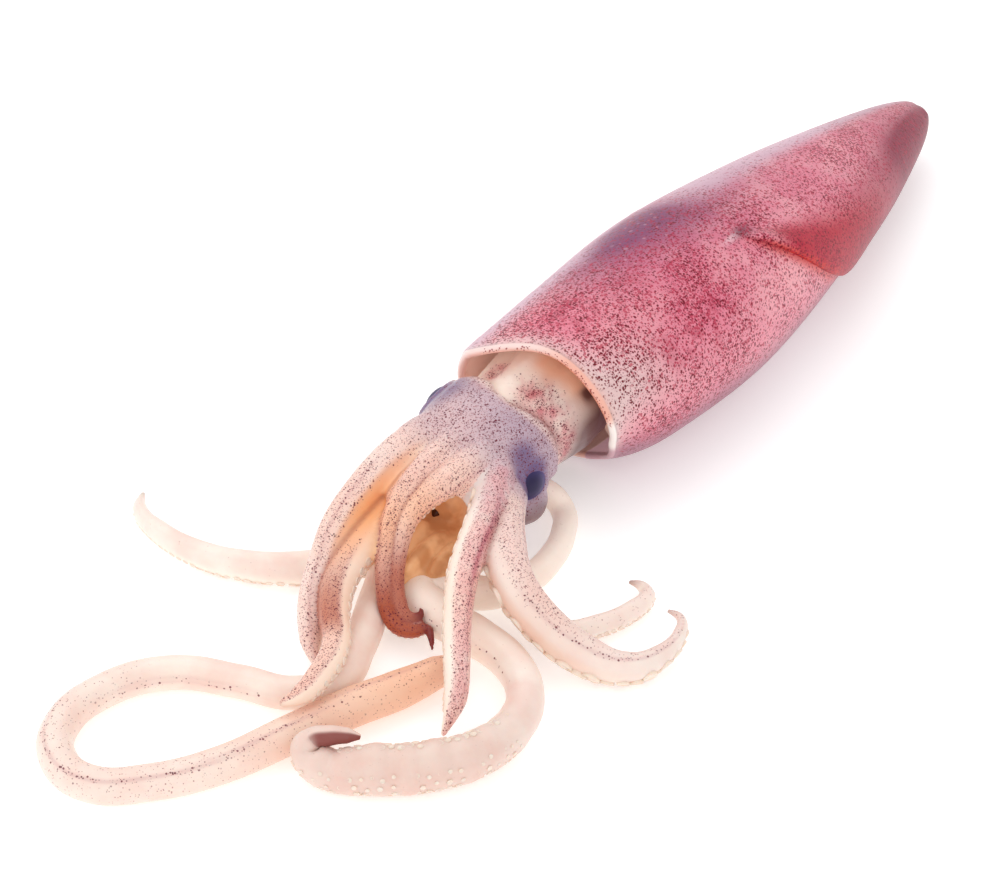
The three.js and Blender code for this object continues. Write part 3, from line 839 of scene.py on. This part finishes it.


# A painted red-orange shadow on the mantle just below the fins' front edges.
edge_share = np.clip((mantle_y - FIN_START) / (FIN_END - FIN_START), 0, 1)
edge_turn = np.degrees(FIN_ROOT + fin_width(edge_share) / np.maximum(1, mantle_radius(mantle_y)))
under_fin_shadow = hill(np.abs(mantle_turn), edge_turn + 2, 6) * soft(mantle_y, 63, 72) * soft(mantle_y, 112, 88)
lip_inner = soft(mantle_row, OUTER_ROWS + 4, OUTER_ROWS + 8)
lip_end = OUTER_ROWS + LIP_ROWS
right_side = soft(mantle_turn, 8, 40) * soft(mantle_turn, 100, 84)
rim_line = hill(mantle_row, OUTER_ROWS + 6, 2.5) * (0.55 + 0.45 * right_side)
paint(mantle, MANTLE_MASKS, mantle_masks(mantle_y, mantle_turn) | {
    # Painted shade in the notch where the fin's front edge meets the mantle.
    "notch": hill(mantle_y, 67.5, 4) * hill(mantle_turn, 37.5, 3.4) * ~inside,
    "slit": hill(mantle_y, 62.5, 3.2) * hill(mantle_turn, 38, 1.1) * ~inside,
    "under_fin_shadow": under_fin_shadow * ~inside,
    "lip": lip_near,
    "lip_orange": np.maximum(lip_inner * (0.5 + 0.5 * right_side), 0.62 * right_side),
    "lip_white": soft(mantle_turn, 80, 92) * soft(mantle_turn, 126, 114),
    "flap": soft(mantle_turn, 106, 120),
    "rim_line": rim_line * soft(mantle_turn, -24, -12) * soft(mantle_turn, 95, 84),
    "inner_pale": soft(mantle_turn, 5, -20) + soft(mantle_turn, 80, 110),
    "inside": soft(mantle_row, lip_end - 4, lip_end + 3),
    # Painted shade deeper inside the mantle's cavity.
    "deep_shade": inside * soft(mantle_y, 0, 12) * soft(mantle_turn, 0, 50) * soft(mantle_turn, 125, 100)})
for piece, (y, turn, out, along) in ((fin_right, fin_right_map), (fin_left, fin_left_map)):
    red = soft(out, 0.12, 0.5) * soft(along, 0.8, 0.35) * soft(y, 68, 80)
    masks = mantle_masks(y, turn)
    masks["dots"] = np.maximum(masks["dots"], 0.9 * np.maximum(red, soft(out, 0.3, 0.7)))
    masks["red"] = np.maximum(masks["red"], 0.9 * red)
    masks["tail"] = np.maximum(masks["tail"], 0.7 * soft(out, 0.35, 0.75) * soft(along, 0.2, 0.5))
    paint(piece, MANTLE_MASKS, masks | {
        # Painted shade in the notch at the fin's front edge.
        "notch": hill(y, 68.5, 3.6) * hill(turn, 38.5, 3.6), "fin": red,
        # Painted red-orange shadow and glow along the fin's free edge.
        "under_fin_shadow": soft(out, 0.8, 1) * soft(y, 66, 74) * soft(y, 108, 86),
        "margin": soft(out, 0.9, 1) * soft(along, 0.5, 0.7)})
print("mantle masks:", len(MANTLE_MASKS))

# %% How each limb is coloured
# For each limb, in this order:
# dots: share of pigment cells on the back and on the sides, and where along the limb they begin.
# lines: angle, strength and the stretch of each dotted ridge line.
# brown: where along the limb it turns brown, how much, and where that ends.
# purple: where the tip turns purple.
# warm: share of peach everywhere, how much more there is where it is strongest, and where that is.
# bare: middle and half width of the pale sucker side.
# Angles are in degrees from straight up, positive to the left as the limb comes towards us.
NO_BROWN = (1.2, 0, 1)
LIMB_LOOK = {
    "arm_left_1": ((0.85, 0.85, 0), [(35, 0.5, 0.3, 0.8), (-20, 0.3, 0.3, 0.8)], (0.44, 0.95, 1), 0.84,
                   (0.12, 0.5, 0.42), (180, 40)),
    "arm_right_1": ((0.7, 0.8, 0), [(-80, 0.9, 0.12, 0.5), (-30, 0.3, 0.3, 0.8)], (0.46, 0.85, 1), 0.88,
                    (0.12, 0.45, 0.42), (180, 40)),
    "arm_left_2": ((0.6, 0.5, 0), [(-2, 0.9, 0.36, 0.95), (-44, 0.5, 0.3, 0.95)], (0.95, 0.5, 1), 1.0,
                   (0.06, 0.1, 0.5), (-112, 55)),
    "arm_right_2": ((0.95, 0.85, 0), [(-45, 0.9, 0.25, 0.95)], NO_BROWN, 0.98, (0, 0.12, 0.6), (72, 52)),
    "arm_left_3": ((0.9, 0.9, 0.4), [(-22, 0.9, 0.45, 1)], (0.36, 0.72, 0.66), 0.97, (0.25, 0.1, 0.6),
                   (-98, 74)),
    "arm_right_3": ((0.24, 0.16, 0), [(-62, 0.9, 0.1, 0.4), (22, 0.8, 0.48, 0.62), (14, 0.9, 0.7, 0.95)],
                    NO_BROWN, 0.95, (0.08, 0.1, 0.5), (95, 80)),
    "arm_left_4": ((0.03, 0.02, 0), [(-30, 0.1, 0.5, 1)], NO_BROWN, 0.95, (0.04, 0, 0.5), (180, 90)),
    "arm_right_4": ((0.1, 0.06, 0), [(-30, 0.25, 0.5, 1)], NO_BROWN, 0.93, (0.02, 0, 0.5), (180, 90)),
    "tentacle_left": ((0.17, 0.14, 0.5), [(30, 1, 0.58, 0.7), (16, 1, 0.78, 0.8), (-6, 0.8, 0.9, 0.92),
                      (-78, 0.5, 0.36, 0.42), (-62, 0.4, 0.36, 0.44), (42, 0.45, 0.38, 0.5)], NO_BROWN, 1.2,
                      (0.08, 0.52, 0.94), (180, 60)),
    "tentacle_right": ((0.03, 0.02, 0), [(60, 0.3, 0.42, 0.55)], NO_BROWN, 1.2, (0.02, 0.06, 0.8), (180, 60)),
}


def away(angle, middle):
    """How far one angle is from another, in degrees, the short way round."""
    return np.abs((angle - middle + 180) % 360 - 180)


def limb_masks(points, names):
    """The masks that follow the limbs, and which limb, how far along, round and off it each point is."""
    which, along, around, best, second = nearest(points, names)
    masks = {key: np.zeros(len(points)) for key in ("dots", "ridge", "brown", "purple", "warm", "pale")}
    for number, name in enumerate(names):
        on = which == number
        at, turn = along[on], around[on]
        (back_dots, side_dots, begin), lines, brown, purple, warm, (middle, width) = LIMB_LOOK[name]
        bare = soft(away(turn, middle), width + 15, width - 15)
        spread = side_dots + (back_dots - side_dots) * soft(np.abs(turn), 80, 20)
        masks["dots"][on] = spread * (1 - bare) * soft(at, begin - 0.12, begin)
        for angle, strength, start, end in lines:
            stretch = soft(at, start - 0.1, start) * soft(at, end + 0.1, end)
            masks["ridge"][on] += strength * stretch * hill(away(turn, angle), 0, 7)
        start, strength, end = brown
        stretch = soft(at, start, start + 0.28) * soft(at, end + 0.1, end)
        masks["brown"][on] = strength * stretch * (1 - 0.9 * bare)
        masks["purple"][on] = soft(at, purple, purple + 0.1)
        base, more, strongest = warm
        masks["warm"][on] = base + more * hill(at, strongest, 0.14)
        masks["pale"][on] = bare
    # Painted shade in the grooves where two limbs lie close together.
    masks["groove_shade"] = soft(second - best, 0.4, 0.08) * soft(along, 0.15, 0.3)
    return masks, which, along, around, best


print("looks of", len(LIMB_LOOK), "limbs")

# %% Masks of the head and neck
FLESH_MASKS = ["dots", "ridge", "brown", "purple", "warm", "pale", "groove_shade", "lit", "lavender", "indigo",
               "mouth", "streak", "rosy", "shade"]
INDIGO = [((13, -19.4, 20), 7, 2.5, 1), ((10.4, -20.8, 25), 6.5, 1.5, 0.85), ((-19.5, -17.5, 26), 9, 3, 0.9),
          ((-14.5, -17, 28.5), 9.5, 2, 0.8),
          (EYE_RIGHT + 5 * np.array(EYE_OUT["right"]) + (0, 0, 2), 6.8, 4.4, 0.8)]


def near(points, centre, outer, inner):
    """1 within inner millimetres of a place, 0 beyond outer."""
    return soft(np.linalg.norm(points - np.array(centre), axis=1), outer, inner)


arm_names = ["arm_" + name for name in ARMS]
masks, which, along, around, best = limb_masks(points_of(flesh), arm_names)
p = in_layout(points_of(flesh))
x, y, z = p.T
head_share = np.linalg.norm((p - HEAD_CENTRE) / HEAD_SIZE, axis=1)
behind, neck_turn = from_collar(p), turn_of_neck(p)
on_neck = soft(behind, -8.6, -6.4) * (1 - near(p, EYE_LEFT, 10.5, 8.5))
on_head = soft(head_share, 1.25, 1.05) * soft(y, -36, -27) * (1 - on_neck)
limb_only = np.clip(1 - on_head - on_neck, 0, 1)
eye_side = np.maximum(near(p, EYE_RIGHT, 15, 7), near(p, EYE_LEFT, 17, 8))
lavender = np.maximum(eye_side, 0.5 + 0.22 * soft(neck_turn, 0, 45) + 0.3 * hill(behind, -12, 6))
lavender *= soft(behind, -6, -9) * soft(y, -38, -26) * soft(head_share, 1.7, 1.3)
lavender = np.maximum(lavender, near(p, EYE_LEFT, 10.5, 8))
indigo = np.maximum.reduce([strength * near(p, *spot) for *spot, strength in INDIGO]) * (1 - on_neck)
fold = hill(behind, -6.2, 1.8) * soft(neck_turn, 10, 28) * soft(neck_turn, 110, 80)
uneven = 0.5 + 0.5 * np.sin(x * 0.9 + y * 0.7) * np.sin(z * 0.8 - y * 0.9 + 1)
patches = hill(neck_turn, 38, 23) * hill(y, -6, 3.8) + 0.9 * hill(neck_turn, 92, 24) * hill(y, -4.5, 2)
patches += hill(neck_turn, -24, 10) * hill(y, -4.6, 3)
patches = np.clip(1.3 * patches, 0, 1) * (0.65 + 0.35 * soft(uneven, 0.25, 0.6)) * on_neck
# Painted orange glow on the top of the neck, as from light shining through the mantle's wall.
neck_glow = on_neck * soft(y, -3, 3) * soft(neck_turn, -2, 12) * soft(neck_turn, 64, 48)
shade = soft(neck_turn, 58, 86) * soft(y, -6, 2) + 0.24 * soft(y, -8, -2) * soft(neck_turn, 12, 34)
shade = np.clip(shade + hill(neck_turn, 56, 6) * soft(y, 1, 4), 0, 1) * on_neck
shade = np.maximum.reduce([shade, 0.75 * near(p, (13, -20.5, 9), 7, 3), 0.32 * fold])
shade *= 1 - neck_glow * soft(neck_turn, 54, 46)
# Whitish skin along the collar's edge, with a painted highlight on it.
collar_white_and_highlight = hill(behind, -8.6, 1.3) * soft(z, 16, 24) * (1 - 0.5 * fold)
print("share of the flesh that is head:", round(float(on_head.mean()), 2))

# %% Masks of the arms and tentacles
MOUTH_INSIDE, MOUTH_REACH = np.array((1, -46, 12)), np.array((12, 17, 12.5))


def on(*names):
    """Where one of these arms is the nearest."""
    return np.isin(which, [arm_names.index("arm_" + name) for name in names])


masks = {key: values * limb_only for key, values in masks.items()}
on_arm = soft(best, 1.38, 1.15)
mouth = soft(np.linalg.norm((p - MOUTH_INSIDE) / MOUTH_REACH, axis=1), 1.15, 0.85) * limb_only
mouth *= 1 - on("left_1", "right_1", "right_2") * on_arm
web_warm = hill(x, -8, 5.8) * hill(y, -53, 18) * soft(z, 7, 13) * limb_only
web_warm *= 1 - on("left_2") * soft(away(around, 40), 90, 60)
web_warm *= 1 - on("left_1") * soft(away(around, 0), 100, 60)
on_r2, on_r3 = on("right_2") * limb_only, on("right_3")
fringe = 0.42 * on_r3 * soft(around, 34, 84) * hill(along, 0.46, 0.26) * limb_only
web_warm = np.maximum(web_warm, fringe)
masks["warm"] = np.maximum.reduce([masks["warm"], web_warm, 0.62 * neck_glow])
masks["dots"] = masks["dots"] + 0.9 * on_head + np.maximum(0.9 * fold, 0.95 * patches)
masks["dots"] *= (1 - 0.85 * web_warm) * (1 - mouth)
masks["dots"] += 0.4 * on_r3 * soft(along, 0.62, 0.42) * soft(away(around, -25), 80, 40) * limb_only
masks["ridge"] = np.maximum.reduce([masks["ridge"], 0.8 * patches, fold, 0.32 * on_head])
masks["brown"] *= on_arm * (1 - mouth)
masks["groove_shade"] *= soft(best, 1.7, 1.3) * (1 - mouth)
masks["pale"] = np.maximum(masks["pale"], on_neck * (1 - 0.8 * patches)) * (1 - shade) * (1 - neck_glow)
# The pale mask also carries the collar's whitish edge and its painted highlight.
masks["pale"] = np.maximum(masks["pale"], 0.8 * collar_white_and_highlight) * (1 - 0.7 * on_r3)
lavender = np.maximum.reduce([lavender, 0.35 * on_r2 * soft(along, 0.36, 0.2), 0.13 * on_r3 * limb_only])
# Painted light on the shaded underside of the first right arm.
glow_under_r1 = on("right_1") * soft(away(around, -105), 50, 20) * limb_only
# lit is a painted glow: the mouth, the peach and pale parts and the neck give off light as if lit through the
# flesh.
paint(flesh, FLESH_MASKS, masks | {
    "lit": 0.08 * glow_under_r1 + 0.17 * mouth + 0.04 * masks["warm"] + 0.05 * masks["pale"] + 0.1 * neck_glow,
    "lavender": lavender * (1 - 0.7 * collar_white_and_highlight), "indigo": indigo, "mouth": mouth, "shade": shade,
    "streak": on_r2 * hill(away(around, -48), 0, 13) * hill(along, 0.4, 0.16),
    "rosy": patches + 0.4 * on_r2 * soft(away(around, -50), 80, 30)})
for piece, name in zip(tentacles, ("tentacle_left", "tentacle_right")):
    masks, _, along, around, _ = limb_masks(points_of(piece), [name])
    masks["groove_shade"] = 0 * along
    if name == "tentacle_right":
        # The club's curled tip is darkened inside: painted shade in the hollow of the curl.
        masks["purple"] = soft(along, 0.935, 0.955) * soft(away(around, 115), 100, 75)
        masks["brown"] = 0.24 * soft(along, 0.56, 0.72)
        masks["groove_shade"] = 0.9 * masks["purple"]
        masks["pale"] = np.maximum(masks["pale"], 0.8 * soft(along, 0.6, 0.5))
    # lit: a painted glow on the peach and pale parts of the tentacles.
    paint(piece, FLESH_MASKS, masks | {"lit": 0.04 * masks["warm"] + 0.05 * masks["pale"]})
print("flesh masks:", len(FLESH_MASKS))

# %% [markdown]
# ## Skin materials
#
# Pigment cells are drawn by a three-dimensional cell pattern: the skin cuts through cells of random size,
# so the dots differ in size as real ones do. A mask sets how many there are, and each layer how large. The
# pattern sits in a shader node group, with a second group for the fine relief of wet skin, and the skins
# share both.

# %% Node helpers
# The helpers add their nodes to the tree that was started last.
def colour(red, green, blue):
    """A photograph's colour, 0 to 255, as a linear one."""
    parts = [value / 255 for value in (red, green, blue)]
    linear = [part / 12.92 if part <= 0.04045 else ((part + 0.055) / 1.055) ** 2.4 for part in parts]
    return (*linear, 1.0)


def wire(socket, value):
    """Gives a socket a mask by its name, another socket, a colour or a number."""
    if isinstance(value, str):
        value = node("ShaderNodeAttribute", attribute_name=value).outputs["Fac"]
    if isinstance(value, bpy.types.NodeSocket):
        tree.links.new(value, socket)
    else:
        socket.default_value = colour(*value) if isinstance(value, tuple) else value


def node(kind, values=None, **settings):
    made = tree.nodes.new(kind)
    for key, value in settings.items():
        setattr(made, key, value)
    for socket, value in (values or {}).items():
        wire(made.inputs[socket], value)
    return made


def math_of(operation, *values, clamp=False):
    return node("ShaderNodeMath", dict(enumerate(values)), operation=operation, use_clamp=clamp).outputs[0]


def times(value, share):
    return math_of("MULTIPLY", value, share)


def ranged(value, low, high):
    return node("ShaderNodeMapRange", {"Value": value, "From Min": low, "From Max": high}).outputs[0]


def over(base, tint, mask):
    """A tint laid over a base colour by a mask."""
    return node("ShaderNodeMix", {0: mask, 6: base, 7: tint}, data_type="RGBA").outputs[2]


def here():
    return node("ShaderNodeTexCoord").outputs["Object"]


def new_group(name, inputs, output):
    """Starts a node group. Returns its inputs and its output."""
    global tree
    tree = bpy.data.node_groups.new(name, "ShaderNodeTree")
    for socket, default in inputs.items():
        made = tree.interface.new_socket(socket, in_out="INPUT", socket_type="NodeSocketFloat")
        made.default_value = default
    tree.interface.new_socket(output, in_out="OUTPUT", socket_type="NodeSocketFloat")
    return tree.nodes.new("NodeGroupInput").outputs, tree.nodes.new("NodeGroupOutput").inputs[output]


print("node helpers are ready")

# %% Two shared groups
given, result = new_group("pigment_dots", {"Amount": 0.5, "Size": 0.4, "Scale": 1000.0, "Shift": 0.0}, "Mask")
spot = node("ShaderNodeVectorMath", {0: here(), 1: given["Shift"]}, operation="ADD").outputs[0]
cells = node("ShaderNodeTexVoronoi", {"Vector": spot, "Scale": given["Scale"], "Randomness": 0.85})
chance = node("ShaderNodeSeparateColor", {0: cells.outputs["Color"]}).outputs
radius = times(math_of("MULTIPLY_ADD", chance[0], 0.6, 0.5), given["Size"])
disc = math_of("MULTIPLY", math_of("SUBTRACT", radius, cells.outputs["Distance"]), 9.0, clamp=True)
there = math_of("MULTIPLY", math_of("SUBTRACT", given["Amount"], chance[1]), 12.0, clamp=True)
wire(result, times(disc, there))

given, result = new_group("wet_relief", {"Scale": 600.0}, "Height")
spot = here()
fine = node("ShaderNodeTexNoise", {"Vector": spot, "Scale": given["Scale"], "Detail": 3.0}).outputs[0]
broad = node("ShaderNodeTexNoise", {"Vector": spot, "Scale": 140.0, "Detail": 2.0}).outputs[0]
wire(result, math_of("MULTIPLY_ADD", broad, 2.0, fine))
print("groups:", [group.name for group in bpy.data.node_groups])

# %% What each material shares
def new_material(name, roughness=0.35, coat=0.25, subsurface=0.0, radius=(0.004, 0.0015, 0.001)):
    """Starts a material. Returns it and its shader."""
    global tree
    made = bpy.data.materials.new(name)
    made.use_nodes = True
    tree = made.node_tree
    tree.nodes.clear()
    shader = node("ShaderNodeBsdfPrincipled", {
        "Roughness": roughness, "Specular IOR Level": 0.2, "Coat Weight": coat, "Coat Roughness": 0.18,
        "Subsurface Weight": subsurface, "Subsurface Scale": 1.0})
    shader.inputs["Subsurface Radius"].default_value = radius
    node("ShaderNodeOutputMaterial", {"Surface": shader.outputs[0]})
    return made, shader


def group_of(name, values):
    """The output of one of the shared groups."""
    made = node("ShaderNodeGroup", node_tree=bpy.data.node_groups[name])
    for socket, value in values.items():
        wire(made.inputs[socket], value)
    return made.outputs[0]


def dots_of(amount, size, scale, shift):
    """The mask of one size of pigment cells."""
    return group_of("pigment_dots", {"Amount": amount, "Size": size, "Scale": scale, "Shift": shift})


def relief_of(shader, scale, strength, depth):
    height = group_of("wet_relief", {"Scale": scale})
    bump = node("ShaderNodeBump", {"Height": height, "Strength": strength, "Distance": depth})
    wire(shader.inputs["Normal"], bump.outputs[0])


def mottle(scale, detail=3.0):
    return node("ShaderNodeTexNoise", {"Vector": here(), "Scale": scale, "Detail": detail}).outputs[0]


def layers(ground, *rows):
    """Lays tints over a ground, each by a mask and a strength."""
    for mask, strength, tint in rows:
        ground = over(ground, tint, mask if strength == 1 else times(mask, strength))
    return ground


def dotted(ground, *rows):
    """Lays pigment cells over a ground: amount, size, scale, shift, strength and tint of each kind."""
    for *kind, strength, tint in rows:
        ground = over(ground, tint, times(dots_of(*kind), strength))
    return ground


# Painted glow: emission by a mask, standing in for light that shines through the flesh.
def glow_with(shader, tint, mask):
    wire(shader.inputs["Emission Color"], over((0, 0, 0), tint, mask))
    wire(shader.inputs["Emission Strength"], 1.0)


def give(material, *pieces):
    for piece in pieces:
        piece.data.materials.clear()
        piece.data.materials.append(material)


print("material helpers are ready")

# %% Mantle skin
mantle_skin, shader = new_material("mantle_skin", 0.36, 0.1, 0.05, (0.002, 0.0008, 0.0006))
cloud = ranged(mottle(130.0, 5.0), 0.40, 0.62)
clump = ranged(mottle(70.0, 4.0), 0.38, 0.60)
blotch = times(ranged(mottle(240.0), 0.5, 0.62), "wine")
ground = layers(
    (222, 144, 162),
    (times(cloud, 0.8), 1, (238, 182, 190)),
    ("bold", 0.5, (250, 196, 200)), ("red", 0.56, (214, 78, 106)), ("flank", 0.55, (234, 154, 166)),
    # The last tint on the next line, pale lavender, is paler skin with a painted sheen along the left
    # contour.
    ("salmon", 0.8, (240, 166, 174)), ("violet", 0.95, (118, 56, 102)), ("pale_skin_and_sheen", 0.85, (200, 162, 180)),
    # The second tint on the next line, dark mauve, is painted shade on the mantle's underside.
    ("patch", 1, (226, 194, 192)), ("belly_shade", 0.85, (150, 96, 118)), ("fin", 0.92, (180, 12, 40)),
    # The last tint on the next line, red-orange, is the painted shadow and glow under the fins' front edges.
    ("tail", 0.94, (128, 8, 52)), ("margin", 0.6, (180, 120, 138)), ("under_fin_shadow", 0.68, (212, 62, 40)),
    # The first tint on the next line, dark plum, is painted shade in the fin's notch.
    ("notch", 0.9, (84, 36, 60)), ("slit", 1, (240, 214, 220)), ("wine", 0.3, (222, 110, 142)),
    (blotch, 0.42, (168, 20, 56)))
bare = math_of("SUBTRACT", 1.0, math_of("MAXIMUM", "inside", "lip"))
uneven = math_of("MULTIPLY_ADD", clump, -0.6, 1.1)
rosy = times(times("red", uneven), bare)
dense = times(times("dots", uneven), bare)
largest = times(dense, math_of("MULTIPLY_ADD", "bold", 0.28, 0.34))
ground = dotted(
    ground,
    (rosy, 0.7, 1600.0, 0.11, 0.72, (176, 14, 56)), (dense, 0.5, 2400.0, 0.37, 0.6, (122, 24, 54)),
    (dense, 0.5, 1500.0, 0.0, 0.92, (118, 0, 34)), (largest, 0.5, 1350.0, 0.57, 0.96, (110, 0, 26)),
    (times(times(bare, "violet"), 0.4), 0.34, 480.0, 0.71, 0.2, (240, 200, 212)))
lip_tint = layers((244, 216, 210), ("lip_orange", 1, (238, 154, 122)), ("flap", 1, (206, 160, 170)),
                  ("lip_white", 1, (252, 242, 236)))
# The dark brown tint is painted shade deep in the cavity.
hollow_tint = layers((226, 140, 84), ("inner_pale", 1, (244, 206, 192)), ("deep_shade", 0.74, (124, 50, 18)),
                     ("flap", 1, (200, 158, 166)))
ground = layers(ground, ("lip", 1, lip_tint), ("inside", 1, hollow_tint))
ground = dotted(ground, ("rim_line", 0.6, 2200.0, 0.23, 0.9, (150, 40, 50)))
wire(shader.inputs["Base Color"], ground)
# Painted glow: the cavity and the flap inside it give off light, as if lit through the thin mantle wall.
glow_with(shader, hollow_tint, times("inside", math_of("MULTIPLY_ADD", "flap", 0.3, 0.07)))
relief_of(shader, 900.0, 0.25, 0.0003)
give(mantle_skin, mantle, fin_right, fin_left)
print("mantle_skin has", len(tree.nodes), "nodes")

# %% Pale flesh of head, arms and tentacles
pale_flesh, shader = new_material("pale_flesh", roughness=0.36, coat=0.16, subsurface=0.12)
fleshy = over((230, 178, 130), (200, 140, 94), ranged(mottle(150.0), 0.42, 0.6))
flush = times("rosy", ranged(mottle(320.0), 0.36, 0.56))
ground = layers(
    (250, 238, 228),
    (ranged(mottle(110.0), 0.35, 0.65), 1, (244, 221, 211)),
    ("dots", 0.7, (238, 192, 184)), ("pale", 0.9, (250, 235, 222)), ("warm", 1, (239, 166, 110)),
    ("lavender", 0.88, (182, 164, 182)), ("indigo", 0.88, (64, 58, 122)), ("brown", 0.98, (172, 74, 32)),
    ("purple", 0.85, (108, 34, 38)), (flush, 0.7, (222, 106, 120)), ("shade", 0.9, (106, 66, 68)),
    # The third tint on the next line, brown, is painted shade in the grooves between limbs.
    ("mouth", 1, fleshy), ("streak", 0.65, (186, 44, 92)), ("groove_shade", 0.48, (150, 64, 54)),
    ("ridge", 0.3, (176, 106, 118)))
many = math_of("MULTIPLY_ADD", "ridge", 0.2, times("dots", 0.42))
rows = math_of("MULTIPLY_ADD", "streak", 0.8, times("ridge", 0.8))
ground = dotted(
    ground,
    ("dots", 0.52, 2700.0, 0.37, 0.62, (138, 58, 66)), (many, 0.48, 1900.0, 0.0, 0.9, (96, 16, 42)),
    (rows, 0.45, 1550.0, 0.53, 0.88, (104, 8, 42)))
wire(shader.inputs["Base Color"], ground)
# Painted glow from the lit mask, as if light shone through the flesh.
glow_with(shader, ground, "lit")
relief_of(shader, 800.0, 0.25, 0.0003)
give(pale_flesh, flesh, *tentacles)
print("pale_flesh has", len(tree.nodes), "nodes")

# %% Suckers, eyes and beak
sucker_flesh, shader = new_material("sucker_flesh", roughness=0.3, coat=0.4, subsurface=0.2)
wire(shader.inputs["Base Color"], over((250, 234, 220), (244, 210, 188), mottle(400.0)))
relief_of(shader, 1200.0, 0.15, 0.0002)
give(sucker_flesh, suckers)

eye_dark, shader = new_material("eye_dark", roughness=0.4, coat=0.15)
ground = layers((84, 74, 134), (ranged("gaze", 0.70, 0.95), 1, (60, 50, 104)),
                (mottle(900.0), 0.25, (96, 84, 136)), (ranged("gaze", 0.90, 0.99), 1, (40, 30, 70)))
wire(shader.inputs["Base Color"], ground)
relief_of(shader, 500.0, 0.05, 0.0002)
give(eye_dark, eye_left, eye_right)

beak_horn, shader = new_material("beak_horn", roughness=0.3, coat=0.2)
wire(shader.inputs["Base Color"], over((38, 20, 12), (92, 50, 26), mottle(500.0)))
relief_of(shader, 900.0, 0.2, 0.0002)
give(beak_horn, beak)
print("materials:", sorted(material.name for material in bpy.data.materials))

# %% [markdown]
# ## Table and light
#
# The squid was photographed on white, under broad soft light with almost no shadow. A white floor that
# glows a little keeps the ground clear, the sky gives most of the light, one large lamp above and behind
# gives the wet skin its soft sheen, and two weaker ones in front fill in the arms.

# %% Floor, sky and lamps
LAMPS = {"softbox": ((-0.35, 0.3, 0.9), 0.9, 2.4), "fill_left": ((-0.5, -0.65, 0.5), 0.8, 1.6),
         "fill_right": ((0.6, -0.4, 0.5), 0.8, 1.0)}
floor = added(bpy.ops.mesh.primitive_plane_add, "floor", size=8, location=(0, 0, -0.0002))
floor_white, shader = new_material("floor_white", roughness=0.6, coat=0.0)
shader.inputs["Base Color"].default_value = (0.9, 0.9, 0.9, 1)
shader.inputs["Emission Color"].default_value = (1, 1, 1, 1)
shader.inputs["Emission Strength"].default_value = 0.32
give(floor_white, floor)

sky = bpy.data.worlds.new("studio")
bpy.context.scene.world = sky
sky.use_nodes = True
sky.node_tree.nodes["Background"].inputs["Color"].default_value = (1, 1, 1, 1)
sky.node_tree.nodes["Background"].inputs["Strength"].default_value = 0.8
for name, (spot, size, energy) in LAMPS.items():
    lamp = added(bpy.ops.object.light_add, name, type="AREA", location=spot)
    lamp.data.size = size
    lamp.data.energy = energy
    lamp.rotation_mode = "QUATERNION"
    lamp.rotation_quaternion = Vector(spot).to_track_quat("Z", "Y")
bpy.context.scene.view_settings.view_transform = "Standard"
print("lamps:", ", ".join(LAMPS))

# %% [markdown]
# ## Hand over to the frame
#
# Every piece rides on the squid's one body, and the CAD solids it stands for are hidden.

# %% Ride and replace
for piece, slot, nodes in (
    (mantle, "skin", ["mantle"]), (fin_right, "skin", ["mantle"]), (fin_left, "skin", ["mantle"]),
    (flesh, "flesh", ["head_and_arms"]), (tentacles[0], "flesh", ["head_and_arms"]),
    (tentacles[1], "flesh", ["head_and_arms"]), (suckers, "flesh", ["head_and_arms"]),
    (eye_left, "eye", ["eye_left"]), (eye_right, "eye", ["eye_right"]), (beak, "horn", ["beak"]),
):
    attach(piece, "root")
    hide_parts(*nodes)
